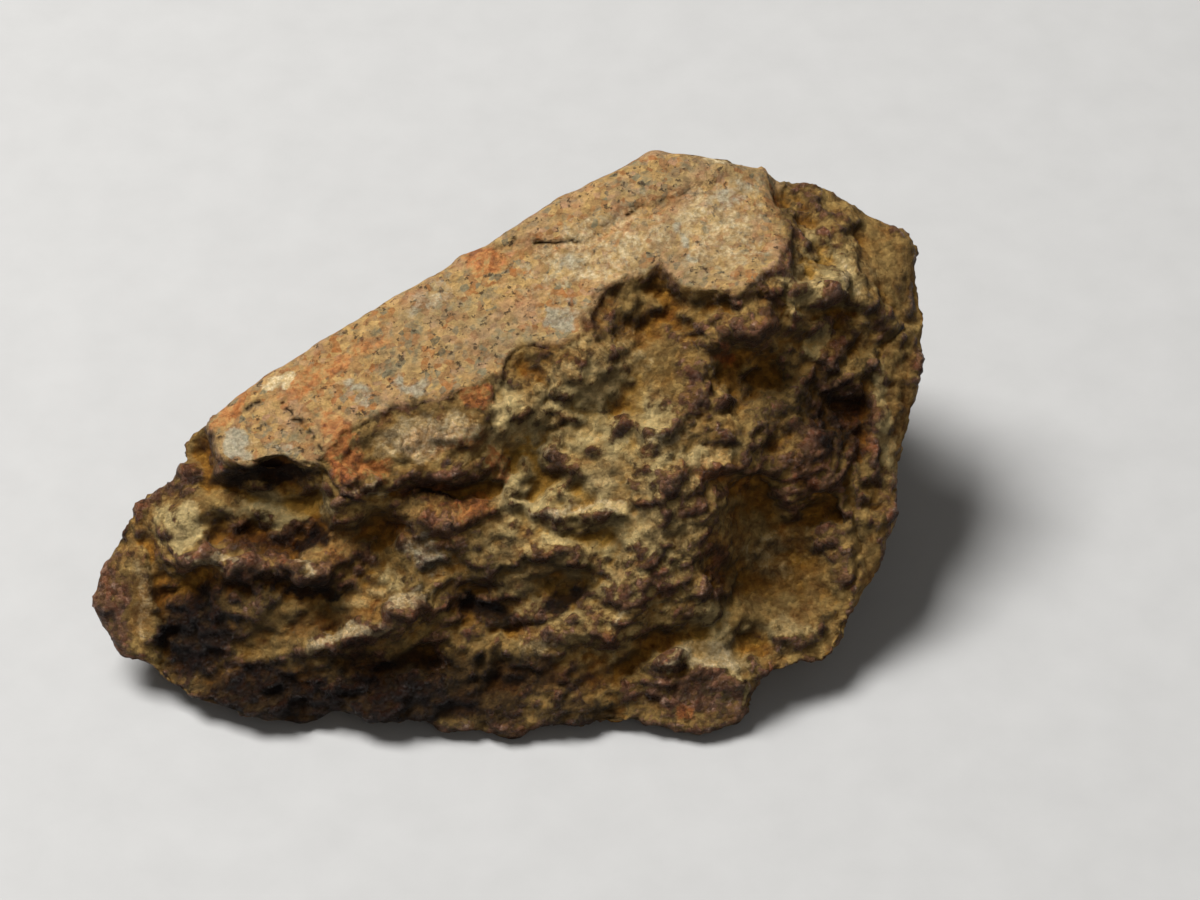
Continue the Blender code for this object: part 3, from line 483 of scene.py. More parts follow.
class Skin:
    """The stone's points as arrays, with where the camera shows each of them.

    note_rim gives it its chips and inside_rim, settle_rim its lip, and rock_relief its knobs.
    """

    def __init__(self, obj):
        self.mesh = obj.data
        count = len(self.mesh.vertices)
        self.points = self.read("co", count)
        edges = np.empty(len(self.mesh.edges) * 2, np.int32)
        self.mesh.edges.foreach_get("vertices", edges)
        self.edges = edges.reshape(-1, 2)
        self.neighbours = np.bincount(self.edges.ravel(), minlength=count)
        self.refresh()

    def read(self, what, count):
        flat = np.empty(count * 3, np.float32)
        self.mesh.vertices.foreach_get(what, flat)
        return flat.reshape(-1, 3).astype(float)

    def refresh(self):
        """Writes the points back, and works out the normals and view places again."""
        self.mesh.vertices.foreach_set("co", self.points.astype(np.float32).ravel())
        self.mesh.update()
        self.normals = self.read("normal", len(self.points))
        sight = self.points - np.array(EYE)
        scale = EYE_DISTANCE / (sight @ -np.array(TO_EYE))
        self.across = sight @ np.array(RIGHT) * scale
        self.up = sight @ np.array(VIEW_UP) * scale
        self.to_eye = -sight / np.linalg.norm(sight, axis=1)[:, None]
        self.facing = (self.normals * self.to_eye).sum(axis=1)

    def averaged(self, values, rounds, share=0.6):
        """The values, blended with those of their neighbours that many times."""
        first, second = self.edges.T
        for _ in range(rounds):
            around = np.empty_like(values)
            for k in range(values.shape[1]):
                column = values[:, k]
                around[:, k] = np.bincount(first, column[second], len(values))
                around[:, k] += np.bincount(second, column[first], len(values))
            around /= self.neighbours[:, None]
            values = values + share * (around - values)
        return values

    def settle_spikes(self):
        """Draws every point that stands off alone back to its neighbours."""
        for _ in range(SPIKE_ROUNDS):
            away = self.averaged(self.points, 1, 1.0) - self.points
            share = smoothstep(*SPIKE_REACH, np.linalg.norm(away, axis=1))
            self.points += away * share[:, None]
        self.refresh()

    def press(self, depth):
        """Moves each point that faces the eye straight away from it by its own depth."""
        self.points -= self.to_eye * (depth * smoothstep(0.05, 0.5, self.facing))[:, None]

    def note_rim(self):
        """Keeps how far inside the face's ragged rim each point is shown; negative outside it."""
        self.chips = [
            sum(noise_at(self.points, size, layer + size) * reach for size, reach in CHIPS)
            for layer in CHIP_LAYERS
        ]
        self.inside_rim = -self.outside(RIM + BEYOND_CREST)

    def outside(self, outline):
        """Signed distance to a chipped outline in the view: negative inside it."""
        return outside_distance(outline, self.across + self.chips[0], self.up + self.chips[1])

    def hollowness(self, rounds):
        """How far each point lies below its surroundings, in millimetres."""
        around = self.averaged(self.points, rounds)
        return ((around - self.points) * self.normals).sum(axis=1)

    def remember(self, name, values):
        """Keeps a number per point for the material to read."""
        layer = self.mesh.attributes.new(name, "FLOAT", "POINT")
        layer.data.foreach_set("value", np.clip(values, 0.0, 1.0).astype(np.float32))


def line_distance(points, across, up):
    """Distance in the view to a line through the points."""
    nearest = np.full(len(across), np.inf)
    for (x0, y0), (x1, y1) in zip(points, points[1:]):
        dx, dy = x1 - x0, y1 - y0
        t = ((across - x0) * dx + (up - y0) * dy) / (dx * dx + dy * dy)
        t = np.clip(t, 0.0, 1.0)
        nearest = np.minimum(nearest, np.hypot(across - x0 - t * dx, up - y0 - t * dy))
    return nearest


def outside_distance(outline, across, up):
    """Signed distance to a closed outline in the view: negative inside it."""
    nearest = line_distance(outline + outline[:1], across, up)
    inside = np.zeros(len(across), bool)
    for (x0, y0), (x1, y1) in zip(outline, outline[1:] + outline[:1]):
        crosses = (y0 > up) != (y1 > up)
        side = x0 + (x1 - x0) * (up - y0) / ((y1 - y0) or 1.0)
        inside ^= crosses & (across < side)
    return np.where(inside, -nearest, nearest)


def step_below(distance, step, sharpness, fade):
    """A step in, just outside an outline, that fades further away from it."""
    return step * smoothstep(0.0, sharpness, distance) * np.exp(-((distance / fade) ** 2))


def form_radius(across, up, form):
    """1 on the edge of an oval placed in the view, 0 at its middle."""
    middle_across, middle_up, half_length, half_height, turn, _ = form
    turn = math.radians(turn)
    a, u = across - middle_across, up - middle_up
    along = (a * math.cos(turn) + u * math.sin(turn)) / half_length
    over = (u * math.cos(turn) - a * math.sin(turn)) / half_height
    return np.hypot(along, over)


def shelf_outline():
    """The smooth face and the shelf below it, as one outline."""
    return RIM[:SHELF_RIM_START] + SHELF_EDGE + RIM[SHELF_RIM_END:] + BEYOND_CREST


def face_depth(skin, sight):
    """How far below the smooth face, carried on past its rim, each point lies along the sight."""
    bends = [
        (skin.across / 20) ** i * (skin.up / 20) ** j
        for i in range(FACE_BENDS + 1)
        for j in range(FACE_BENDS + 1 - i)
    ]
    bends = np.stack(bends, axis=1)
    middle = (skin.inside_rim > RIM_STRETCH) & (skin.facing > FACE_SQUARE)
    shape = np.linalg.lstsq(bends[middle], sight[middle], rcond=None)[0]
    return sight - bends @ shape


def settle_rim(skin):
    """Carries the smooth face on flat up to its rim, and banks the broken rock up to it."""
    inner = skin.inside_rim
    drop = face_depth(skin, np.linalg.norm(skin.points - np.array(EYE), axis=1))
    lift = np.clip(drop, 0.0, RIM_LIFT_MOST)
    lift *= smoothstep(*RIM_LIFT_EDGE, inner)
    lift *= 1.0 - smoothstep(0.5 * RIM_STRETCH, RIM_STRETCH, inner)
    places, drops, slopes = zip(*RIM_DROPS)
    allowed = np.interp(skin.across, places, drops)
    allowed -= np.interp(skin.across, places, slopes) * inner
    bank = np.clip(drop - allowed, 0.0, None) * (inner < 0.0)
    bank *= 1.0 - smoothstep(*RIM_BANK, -inner)
    bank *= smoothstep(*RIM_LEFT_END, skin.across)
    below_crest = 1.0 - smoothstep(*RIM_TOP_END, skin.up)
    near_side = smoothstep(*RIM_FAR_SIDE, skin.facing) * (1.0 - smoothstep(*RIM_DEEP_END, drop))
    near_side = skin.averaged(near_side[:, None], RIM_BLEND_ROUNDS)[:, 0]
    lift = (lift + bank) * below_crest * near_side
    skin.points += skin.to_eye * lift[:, None]
    near_rim = 1.0 - smoothstep(*LIP_WIDTH, inner)
    skin.lip = smoothstep(*LIP_DROP, drop - lift) * below_crest * near_rim
    skin.settle_spikes()


def crisp_edges(skin):
    """Cuts the shelf's lower edge, the flake and the proud parts sharp, with small chips."""
    off_shelf = skin.outside(shelf_outline())
    step_line = SHELF_EDGE[:SHELF_STEP_POINTS]
    below_shelf = line_distance(step_line, skin.across, skin.up) < off_shelf + SHELF_STEP_SLACK
    depth = step_below(off_shelf, SHELF_CRISP, STEP_SHARPNESS, STEP_FADE) * below_shelf
    for height, fade, outline in PROUD_PARTS:
        depth += step_below(skin.outside(outline), height, STEP_SHARPNESS, fade)
    depth -= FLAKE_CRISP * smoothstep(0.0, -STEP_SHARPNESS, skin.outside(FLAKE))
    skin.press(depth)
    skin.refresh()


def shaken_places(skin, shakes, across_layer, up_layer):
    """Where the camera shows each point, shaken so that what is laid out there turns ragged."""
    across, up = skin.across.copy(), skin.up.copy()
    for i, (size, reach) in enumerate(shakes):
        across += noise_at(skin.points, size, across_layer + i) * reach
        up += noise_at(skin.points, size, up_layer + i) * reach
    return across, up


def shape_forms(skin):
    """Presses the seen side's hollows in and raises its swells."""
    across, up = shaken_places(skin, FORM_SHAKE, 81, 82)
    height = np.zeros(len(across))
    for form in FORMS:
        radius = form_radius(across, up, form)
        height += form[-1] * np.clip(1.0 - radius**2, 0.0, 1.0) ** 1.5
    skin.press(-height * (1.0 - smooth_face_share(skin)))
    skin.refresh()


def smooth_face_share(skin, over_crest=-0.05, start=0.0):
    """1 on the smooth top face, 0 on the broken faces and on the face's worn lip."""
    flat = smoothstep(start, start + 0.15, skin.inside_rim) * (1.0 - skin.lip)
    return flat * smoothstep(over_crest, over_crest + 0.2, skin.facing)


def under_lug(skin):
    """1 for the places across the view where the face juts out as a lug."""
    return ((skin.across > LUG_ACROSS[0]) & (skin.across < LUG_ACROSS[1])).astype(float)


def along_grain(points):
    """The points squeezed along the stone's grain, so that forms come out longer that way."""
    turned = points.copy()
    c, t = math.cos(GRAIN_TURN), math.sin(GRAIN_TURN)
    turned[:, 0] = (points[:, 0] * c + points[:, 2] * t) / GRAIN_STRETCH
    turned[:, 2] = points[:, 2] * c - points[:, 0] * t
    return turned


def line_forms(skin, lines):
    """The height that ridges or grooves along those lines give each point."""
    across, up = shaken_places(skin, LINE_SHAKE, 71, 72)
    strength = coming_and_going(skin.points, LINE_COMINGS, 73)
    height = np.zeros(len(across))
    for half_width, rise, points in lines:
        distance = line_distance(points, across, up)
        height = np.maximum(height, rise * np.exp(-((distance / half_width) ** 2)))
    return height * strength * smoothstep(0.0, 0.3, skin.facing)


def rock_relief(skin):
    """The height of the broken faces' swells, ledges, knobs, crumbs, grit and lines."""
    points = skin.points
    places = shaken_places(skin, PATCH_SHAKE, 41, 51)
    dusty = np.maximum(patches(skin, places, KHAKI), patches(skin, places, OCHRE))
    size, usual, spread, limits = CLUSTERS
    cluster = usual + spread * noise_at(points, size, 8)
    cluster += VARNISH_CLUSTERS * patches(skin, places, VARNISH) + DUST_CLUSTERS * dusty
    cluster = np.clip(cluster, *limits)
    grain = along_grain(warped(warped(points, *WARP), *FINE_WARP))
    knobs = np.zeros(len(points))
    for layer, (spacing, height) in enumerate(KNOBS):
        knobs += knobs_at(grain, spacing, 3 + layer) * height
    skin.knobs = knobs * cluster
    calm = 1.0 - DUST_CALM * dusty
    rough = noise_at(grain, SWELLS[0], 1, 2) * SWELLS[1] * calm
    rough += ledges_at(grain) * LEDGES[1] * coming_and_going(points, LEDGE_COMINGS, 9) * calm
    rough += crumbs_at(grain, CRUMBS[0], 2, 3) * CRUMBS[1] * (0.4 + 0.6 * cluster)
    rough += noise_at(points, GRIT[0], 7, 3) * GRIT[1] * (0.6 + 0.4 * cluster)
    rough += skin.knobs + line_forms(skin, RIDGES) - line_forms(skin, GROOVES)
    below_rim = np.maximum(smoothstep(0.0, RELIEF_START, -skin.inside_rim), under_lug(skin))
    below_rim = np.maximum(below_rim, smoothstep(*RIM_TOP_END, skin.up))
    least, full = EDGE_CALM
    calm_edge = least + (1.0 - least) * smoothstep(0.0, full, np.abs(skin.facing))
    return rough * below_rim * (1.0 - patches(skin, places, FLATS)) * calm_edge


def face_relief(points):
    """The height of the smooth face's faint waves, with its small pits."""
    waves = noise_at(points, SMOOTH_FACE_WAVES[0], 5, 3) * SMOOTH_FACE_WAVES[1]
    pits = noise_at(points, SMOOTH_FACE_PITS[0], 6, 1)
    return waves - smoothstep(*PIT_EDGE, pits) * SMOOTH_FACE_PITS[1]


def worn_spot(skin):
    """1 on the flat spot that the stone rests on, 0 away from it."""
    underside = 1.0 - smoothstep(*UNDERSIDE, skin.normals[:, 2])
    away = skin.points[:, :2] - np.array(FLAT_SPOT)
    return underside * (1.0 - smoothstep(*FLAT_SPOT_REACH, np.hypot(*away.T)))


def crumble(skin):
    """Gives the broken faces their relief and the smooth face its own."""
    smooth = smooth_face_share(skin, over_crest=-0.5)
    height = rock_relief(skin) * (1.0 - smooth) + face_relief(skin.points) * smooth
    height *= 1.0 - worn_spot(skin)
    lean = skin.normals + LEAN_UP * (1.0 - smooth)[:, None] * np.array((0.0, 0.0, 1.0))
    skin.points += lean * height[:, None]
    skin.settle_spikes()


def crack_share(skin):
    """1 in the middle of a crack, 0 beside it."""
    size, reach = CRACK_SHAKE
    shake = noise_at(skin.points, size, 31) * reach
    nearest = np.full(len(skin.points), np.inf)
    for crack in CRACKS:
        nearest = np.minimum(nearest, line_distance(crack, skin.across + shake, skin.up + shake))
    return (1.0 - smoothstep(0.2 * CRACK_WIDTH, CRACK_WIDTH, nearest)) * (skin.facing > 0)


def patches(skin, places, forms):
    """How much each point is covered by patches of those forms."""
    across, up = places
    cover = np.zeros(len(across))
    for form in forms:
        reach = form_radius(across, up, form)
        cover = np.maximum(cover, form[-1] * (1.0 - smoothstep(*PATCH_EDGE, reach)))
    return cover * smoothstep(*SEEN, skin.facing)


def learn_relief(skin):
    """Gives each point its place in the relief: how hollow, deep, knobbly or ledge-like it is."""
    beside_rim = np.exp(-((skin.inside_rim / RIM_MARGIN) ** 2))
    beside_rim *= 1.0 - LUG_MARGIN_LOSS * under_lug(skin)
    rounds, strength = HOLLOW_MEASURE
    skin.remember("hollow", 0.5 + strength * skin.hollowness(rounds) * (1.0 - beside_rim))
    rounds, strength = DEEP_MEASURE
    skin.remember("deep", 0.5 + strength * skin.hollowness(rounds))
    rounds, strength = LEDGE_MEASURE
    tilt = skin.normals[:, 2] - skin.averaged(skin.normals, rounds)[:, 2]
    tilt = skin.averaged(tilt[:, None], 1)[:, 0] * (1.0 - beside_rim)
    skin.remember("ledge", 0.5 + strength * tilt)
    skin.remember("knob", KNOB_MEASURE * skin.knobs)


def learn_finishes(skin):
    """Gives each point its share of every finish, and of the painted shade and painted highlights."""
    places = shaken_places(skin, PATCH_SHAKE, 41, 51)
    unseen = 1.0 - smoothstep(*SEEN, skin.facing)
    big, small = (noise_at(skin.points, size, 61 + i) for i, size in enumerate(UNSEEN_SIZES))
    scarp_points, half_width, strength = SCARP_RUST
    scarp = np.exp(-((line_distance(FLAKE[:scarp_points], *places) / half_width) ** 2))
    rusty = np.maximum(patches(skin, places, RUST), strength * scarp * smooth_face_share(skin))
    face = smoothstep(-0.2, 0.25, skin.inside_rim) * smooth_face_share(skin, start=-0.25)
    shares = {
        "smooth_face": face,
        "crack": crack_share(skin),
        "ochre": patches(skin, places, OCHRE) + unseen * smoothstep(0.0, 0.5, big),
        "khaki": patches(skin, places, KHAKI) + 0.7 * unseen * smoothstep(0.1, 0.8, small),
        "rust": rusty + 0.4 * unseen * smoothstep(0.1, 0.7, -small),
        "varnish": patches(skin, places, VARNISH) + unseen * smoothstep(0.1, 0.6, -big),
        # Painted shade, partly the darker soil of the bottom
        "dark_soil_and_shade": patches(skin, places, DARK_SOIL_AND_PAINTED_SHADE),
        # Pale grains, and painted highlights and painted light
        "pale": patches(skin, places, PALE_GRAINS_AND_HIGHLIGHTS),
        "grey": patches(skin, places, GREY),
    }
    for name, share in shares.items():
        skin.remember(name, share)


def colour(red, green, blue):
    """A screen colour, 0 to 255 each, as the linear colour that a shader takes."""
    share = (c / 255 for c in (red, green, blue))
    return tuple(c / 12.92 if c <= 0.04045 else ((c + 0.055) / 1.055) ** 2.4 for c in share) + (1.0,)


UMBER = colour(112, 78, 40)
OLIVE = colour(118, 94, 50)
VARNISH_PURPLE = colour(124, 90, 70)
VARNISH_BROWN = colour(122, 84, 54)
VARNISH_BLACK = colour(44, 32, 24)
# Painted sheen: the pale lilac that stands for the varnish's soft highlights
VARNISH_PAINTED_SHEEN = colour(186, 164, 142)
# Painted shade inside the cracks
CRACK_SHADE_BLACK = colour(22, 15, 8)
# Painted shade: the tint that the painted shade patches lay on the colour
DARK_SOIL_AND_SHADE_TINT = colour(66, 52, 34)
RUST_STAIN = colour(236, 204, 164)
OCHRE_DUST = colour(168, 136, 78)
OCHRE_DEEP = colour(124, 88, 42)
# Painted shade: the warm darkening laid on deep hollows
HOLLOW_PAINTED_SHADE = colour(238, 208, 140)
KHAKI_DUST = colour(208, 182, 124)
KHAKI_DEEP = colour(172, 144, 88)
KHAKI_GREY = colour(190, 162, 110)
RUST_BRIGHT = colour(184, 110, 56)
RUST_DEEP = colour(122, 60, 30)
SAND_PALE = colour(190, 160, 108)
# The palest grains, and the colour of painted highlights
CHALK_AND_HIGHLIGHT = colour(226, 206, 166)
GREY_GREEN = colour(136, 132, 110)
GREY_LIGHT = colour(182, 172, 146)
FACE_TAN = colour(164, 128, 80)
FACE_ORANGE = colour(160, 102, 52)
FACE_YELLOW = colour(190, 154, 94)
FACE_PINK = colour(172, 132, 98)
FACE_GREY = colour(128, 120, 92)
FACE_DARK = colour(66, 50, 34)
FLOOR_DARKER = colour(174, 173, 171)
FLOOR_LIGHTER = colour(178, 177, 175)

# How strong the stone's gloss is, how matt its dust is, and how high its bumps are
STONE_GLOSS = 0.2
DUST_MATT = 0.95
BUMP_HEIGHT = 0.52

# The floor's half width in metres, how far it lies below the stone in millimetres, and how matt
FLOOR_REACH = 0.8
FLOOR_GAP = 0.01
FLOOR_MATT = 0.85

# The lights: direction, distance and size in metres, and power. The air's tint and strength.
KEY_LIGHT = ((-0.38, 0.12, 0.92), 0.45, 0.2, 3.35)
FILL_LIGHT = ((0.3, -0.9, 0.6), 0.6, 0.5, 0.3)
AIR_TINT = (1.0, 0.98, 0.95, 1.0)
AIR_STRENGTH = 0.12


class Finish:
    """A material's node tree, with short calls for the nodes that the stone needs."""

    def __init__(self, name):
        self.material = bpy.data.materials.new(name)
        self.material.use_nodes = True
        self.tree = self.material.node_tree
        self.shader = self.tree.nodes["Principled BSDF"]
        place = self.node("ShaderNodeTexCoord").outputs["Object"]
        scale = (1 / MM, 1 / MM, 1 / MM)
        self.place = self.node("ShaderNodeMapping", scale=scale, vector=place).outputs["Vector"]

    def node(self, kind, **inputs):
        """A new node, with the inputs of those names fed."""
        made = self.tree.nodes.new(kind)
        for name, value in inputs.items():
            self.feed(value, made.inputs[name.replace("_", " ").title()])
        return made

    def link(self, source, target):
        self.tree.links.new(source, target)

    def feed(self, value, target):
        if isinstance(value, bpy.types.NodeSocket):
            self.link(value, target)
        else:
            target.default_value = value

    def noise(self, size, detail=3.0, roughness=0.55, distortion=0.0):
        """Noise from 0 to 1 with features of that many millimetres."""
        texture = self.node(
            "ShaderNodeTexNoise",
            vector=self.place,
            scale=1.0 / size,
            detail=detail,
            roughness=roughness,
            distortion=distortion,
        )
        return texture.outputs["Fac"]

    def cells(self, size, output):
        """Cells of that many millimetres: their Distance or their random Color."""
        texture = self.node("ShaderNodeTexVoronoi", vector=self.place, scale=1.0 / size)
        return texture.outputs[output]

    def attribute(self, name):
        """What the skin's points remember under that name."""
        reader = self.node("ShaderNodeAttribute")
        reader.attribute_name = name
        return reader.outputs["Fac"]

    def combined(self, first, second, operation):
        step = self.node("ShaderNodeMath")
        step.operation = operation
        self.feed(first, step.inputs[0])
        self.feed(second, step.inputs[1])
        return step.outputs[0]

    def sum(self, first, second):
        return self.combined(first, second, "ADD")

    def times(self, first, second):
        return self.combined(first, second, "MULTIPLY")

    def larger(self, first, second):
        return self.combined(first, second, "MAXIMUM")

    def ramp(self, value, low, high, start=0.0, end=1.0):
        """The value's rise from low to high, as a soft step from start to end."""
        rise = self.node(
            "ShaderNodeMapRange", value=value, from_min=low, from_max=high, to_min=start, to_max=end
        )
        rise.interpolation_type = "SMOOTHSTEP"
        return rise.outputs["Result"]

    def mix(self, share, below, above, blend="MIX"):
        """A colour that goes from below to above with the share."""
        mixer = self.node("ShaderNodeMix")
        mixer.data_type = "RGBA"
        mixer.blend_type = blend
        self.feed(share, mixer.inputs["Factor"])
        self.feed(below, mixer.inputs[6])
        self.feed(above, mixer.inputs[7])
        return mixer.outputs[2]

    def tinted(self, look, tint):
        """The look, multiplied by a tint or by a number for its brightness."""
        return self.mix(1.0, look, tint, "MULTIPLY")

    def blend(self, share, first, second):
        """A number that goes from first to second with the share."""
        mixer = self.node("ShaderNodeMix")
        self.feed(share, mixer.inputs["Factor"])
        self.feed(first, mixer.inputs[2])
        self.feed(second, mixer.inputs[3])
        return mixer.outputs[0]

    def colours(self, value, *stops):
        """A run of colours along the value: pairs of place and colour."""
        band = self.node("ShaderNodeValToRGB", fac=value)
        elements = band.color_ramp.elements
        while len(elements) < len(stops):
            elements.new(0.5)
        for element, (place, tint) in zip(elements, stops):
            element.position = place
            element.color = tint
        return band.outputs["Color"]

    def ragged(self, name, grain, spread, low, high):
        """A painted share whose outline follows the grain instead of a soft blur."""
        shaken = self.sum(self.attribute(name), self.times(self.sum(grain, -0.5), spread))
        return self.ramp(shaken, low, high)


def dust_settled(finish, noises, khaki, ochre, varnished):
    """How readily dust lies: more in hollows, on ledges and in dusty patches, less on knobs."""
    coarse, medium, fine, _ = noises
    bared = finish.times(finish.attribute("knob"), finish.blend(khaki, -0.45, -0.2))
    settled = finish.sum(finish.attribute("hollow"), bared)
    settled = finish.sum(settled, finish.times(finish.larger(khaki, ochre), 0.3))
    settled = finish.sum(settled, finish.times(varnished, -0.2))
    uneven = ((finish.attribute("ledge"), 0.5), (coarse, 0.9), (medium, 0.5), (fine, 0.8))
    for swing, weight in uneven:
        settled = finish.sum(settled, finish.times(finish.sum(swing, -0.5), weight))
    return settled


def broken_look(finish, noises, shares):
    """The broken faces' colour, with painted shade and painted highlights in their patches, and how
    much of it is dust.
    """
    coarse, medium, fine, grain = noises
    khaki, ochre, varnished, rusty, pale = shares
    ochre_dust = finish.colours(medium, (0.32, OCHRE_DEEP), (0.62, OCHRE_DUST))
    khaki_dust = finish.colours(
        coarse, (0.35, KHAKI_DEEP), (0.5, KHAKI_DUST), (0.66, KHAKI_GREY)
    )
    dust = finish.mix(khaki, ochre_dust, khaki_dust)
    # The varnish's colours run up to a painted sheen of pale lilac
    varnish = finish.colours(
        grain,
        (0.24, VARNISH_BLACK),
        (0.42, VARNISH_BROWN),
        (0.56, VARNISH_PURPLE),
        (0.78, VARNISH_PAINTED_SHEEN),
    )
    crumbs = finish.colours(
        finish.cells(0.45, "Color"),
        (0.2, VARNISH_BLACK),
        (0.4, RUST_DEEP),
        (0.55, UMBER),
        (0.8, OLIVE),
    )
    varnish = finish.mix(finish.ramp(fine, 0.4, 0.6, 0.0, 0.6), varnish, crumbs)
    stain = finish.colours(coarse, (0.4, UMBER), (0.55, OLIVE))
    settled = dust_settled(finish, noises, khaki, ochre, varnished)
    look = finish.mix(finish.ramp(settled, 0.2, 0.44), varnish, stain)
    dust_share = finish.ramp(settled, 0.33, 0.68)
    look = finish.mix(dust_share, look, dust)
    rust = finish.colours(medium, (0.34, RUST_DEEP), (0.5, RUST_BRIGHT), (0.64, OCHRE_DUST))
    look = finish.mix(finish.times(rusty, 0.75), look, rust)
    stain_share = finish.ramp(finish.noise(3.0, 5.0, 0.65), 0.5, 0.66, 0.0, 0.7)
    look = finish.mix(stain_share, look, finish.tinted(look, RUST_STAIN))
    # Painted shade: the patches darken the colour where shadow falls, partly darker soil
    dark_soil_and_shade_share = finish.times(finish.ragged("dark_soil_and_shade", medium, 0.8, 0.2, 0.9), 0.95)
    look = finish.mix(dark_soil_and_shade_share, look, finish.tinted(look, DARK_SOIL_AND_SHADE_TINT))
    # Pale grains, with painted highlights and painted light on lit tops
    grains_and_highlights = finish.colours(fine, (0.4, SAND_PALE), (0.65, CHALK_AND_HIGHLIGHT))
    look = finish.mix(finish.times(pale, 0.7), look, grains_and_highlights)
    return look, dust_share


def face_look(finish, noises, shares):
    """The smooth top face's colour: tan and orange, finely speckled, with painted highlights in its
    pale patches.
    """
    _, medium, fine, _ = noises
    rusty, pale = shares
    speckle = finish.colours(
        finish.cells(0.34, "Color"),
        (0.0, FACE_DARK),
        (0.14, FACE_GREY),
        (0.3, FACE_ORANGE),
        (0.46, FACE_TAN),
        (0.7, FACE_YELLOW),
        (0.9, FACE_PINK),
    )
    look = finish.colours(
        finish.noise(1.3, 5.0, 0.7, 0.4), (0.34, FACE_ORANGE), (0.46, FACE_TAN), (0.6, FACE_YELLOW)
    )
    look = finish.mix(finish.ramp(fine, 0.3, 0.55, 0.3, 0.9), look, speckle)
    blotches = (
        (finish.ramp(medium, 0.5, 0.66, 0.0, 0.65), FACE_GREY),
        (finish.ramp(finish.noise(3.5, 3.0), 0.45, 0.65, 0.0, 0.4), FACE_GREY),
        (finish.ramp(finish.noise(2.0, 4.0), 0.52, 0.7, 0.0, 0.5), FACE_PINK),
        (finish.ramp(finish.noise(0.4, 3.0, 0.65), 0.58, 0.66, 0.0, 0.85), FACE_DARK),
    )
    for share, tint in blotches:
        look = finish.mix(share, look, tint)
    rust = finish.colours(medium, (0.36, RUST_DEEP), (0.48, RUST_BRIGHT), (0.66, FACE_YELLOW))
    look = finish.mix(finish.times(rusty, 0.7), look, rust)
    # Pale grains, and painted highlights such as the glint on the crest
    return finish.mix(pale, look, finish.colours(fine, (0.4, SAND_PALE), (0.65, CHALK_AND_HIGHLIGHT)))


def gritty(finish, look, grain, smooth_face, dust_share):
    """The colour, broken up by grit and given painted shade in the grit's pits, painted shade under
    ledges and painted light on their tops, and painted warm shade in deep hollows.
    """
    crumb_shade = finish.ramp(finish.cells(0.27, "Color"), 0.2, 0.8, 0.65, 1.35)
    # Painted shade and light on the grit: the grain noise that also raises the bump darkens its pits
    # and lightens its grains, mixed with random tone from the cells
    grit_shade = finish.times(finish.ramp(grain, 0.3, 0.68, 0.55, 1.45), crumb_shade)
    grit_shade = finish.blend(finish.times(dust_share, 0.5), grit_shade, 1.0)
    # Painted shade in the smooth face's grit pits, from the same grain noise
    face_shade = finish.ramp(grain, 0.3, 0.66, 0.62, 1.3)
    look = finish.tinted(look, finish.blend(smooth_face, grit_shade, face_shade))
    # Painted shade under ledges and painted light on their tops, from the ledge measure
    painted_ledge_light_and_shade = finish.ramp(finish.attribute("ledge"), 0.2, 0.75, 0.35, 1.3)
    look = finish.tinted(look, finish.blend(smooth_face, painted_ledge_light_and_shade, 1.0))
    # Painted shade: deep hollows darkened and warmed
    deep_shade_share = finish.ramp(finish.attribute("deep"), 0.5, 0.9)
    return finish.mix(deep_shade_share, look, finish.tinted(look, HOLLOW_PAINTED_SHADE))


def fine_relief(finish, fine, grain, smooth_face):
    """Grit too small for the skin's own points, as a bump."""
    relief = finish.sum(grain, finish.times(fine, 0.6))
    relief = finish.sum(relief, finish.times(finish.cells(0.27, "Distance"), -0.35))
    relief = finish.times(relief, finish.blend(smooth_face, 1.0, 0.45))
    bump = finish.node("ShaderNodeBump", height=relief, distance=BUMP_HEIGHT * MM, strength=1.0)
    finish.link(bump.outputs["Normal"], finish.shader.inputs["Normal"])


def chondrite_finish():
    """Dust, varnish and rust on the broken faces, and the speckled smooth face, in one material, with
    painted shade, painted highlights and a painted sheen on the varnish.
    """
    finish = Finish("weathered chondrite")
    coarse = finish.noise(2.4, 4.0, 0.6)
    medium = finish.noise(0.6, 5.0, 0.65, 0.4)
    fine = finish.noise(0.2, 4.0, 0.75)
    grain = finish.noise(0.5, 8.0, 0.8, 0.3)
    noises = (coarse, medium, fine, grain)
    khaki = finish.ragged("khaki", medium, 0.9, 0.2, 0.8)
    ochre = finish.ragged("ochre", medium, 0.9, 0.2, 0.8)
    varnished = finish.ragged("varnish", medium, 0.9, 0.2, 0.8)
    rusty = finish.ragged("rust", medium, 1.1, 0.3, 0.7)
    # Pale grains and painted highlights
    pale = finish.ragged("pale", medium, 1.2, 0.3, 0.8)
    broken, dust_share = broken_look(finish, noises, (khaki, ochre, varnished, rusty, pale))
    face = face_look(finish, noises, (rusty, pale))
    smooth_face = finish.attribute("smooth_face")
    look = finish.mix(smooth_face, broken, face)
    grey = finish.colours(fine, (0.38, GREY_GREEN), (0.6, GREY_LIGHT))
    grey_share = finish.times(finish.ragged("grey", grain, 1.8, 0.25, 0.85), 0.8)
    look = finish.mix(grey_share, look, grey)
    # Painted shade: the cracks are painted near black
    look = finish.mix(finish.attribute("crack"), look, CRACK_SHADE_BLACK)
    look = gritty(finish, look, grain, smooth_face, dust_share)
    finish.link(look, finish.shader.inputs["Base Color"])

    varnish_matt = finish.ramp(grain, 0.38, 0.58, 0.65, 0.24)
    broken_matt = finish.blend(dust_share, varnish_matt, DUST_MATT)
    face_matt = finish.ramp(fine, 0.35, 0.65, 0.55, 0.85)
    matt = finish.blend(smooth_face, broken_matt, face_matt)
    finish.link(matt, finish.shader.inputs["Roughness"])
    finish.shader.inputs["Specular IOR Level"].default_value = STONE_GLOSS
    fine_relief(finish, fine, grain, smooth_face)
    return finish.material


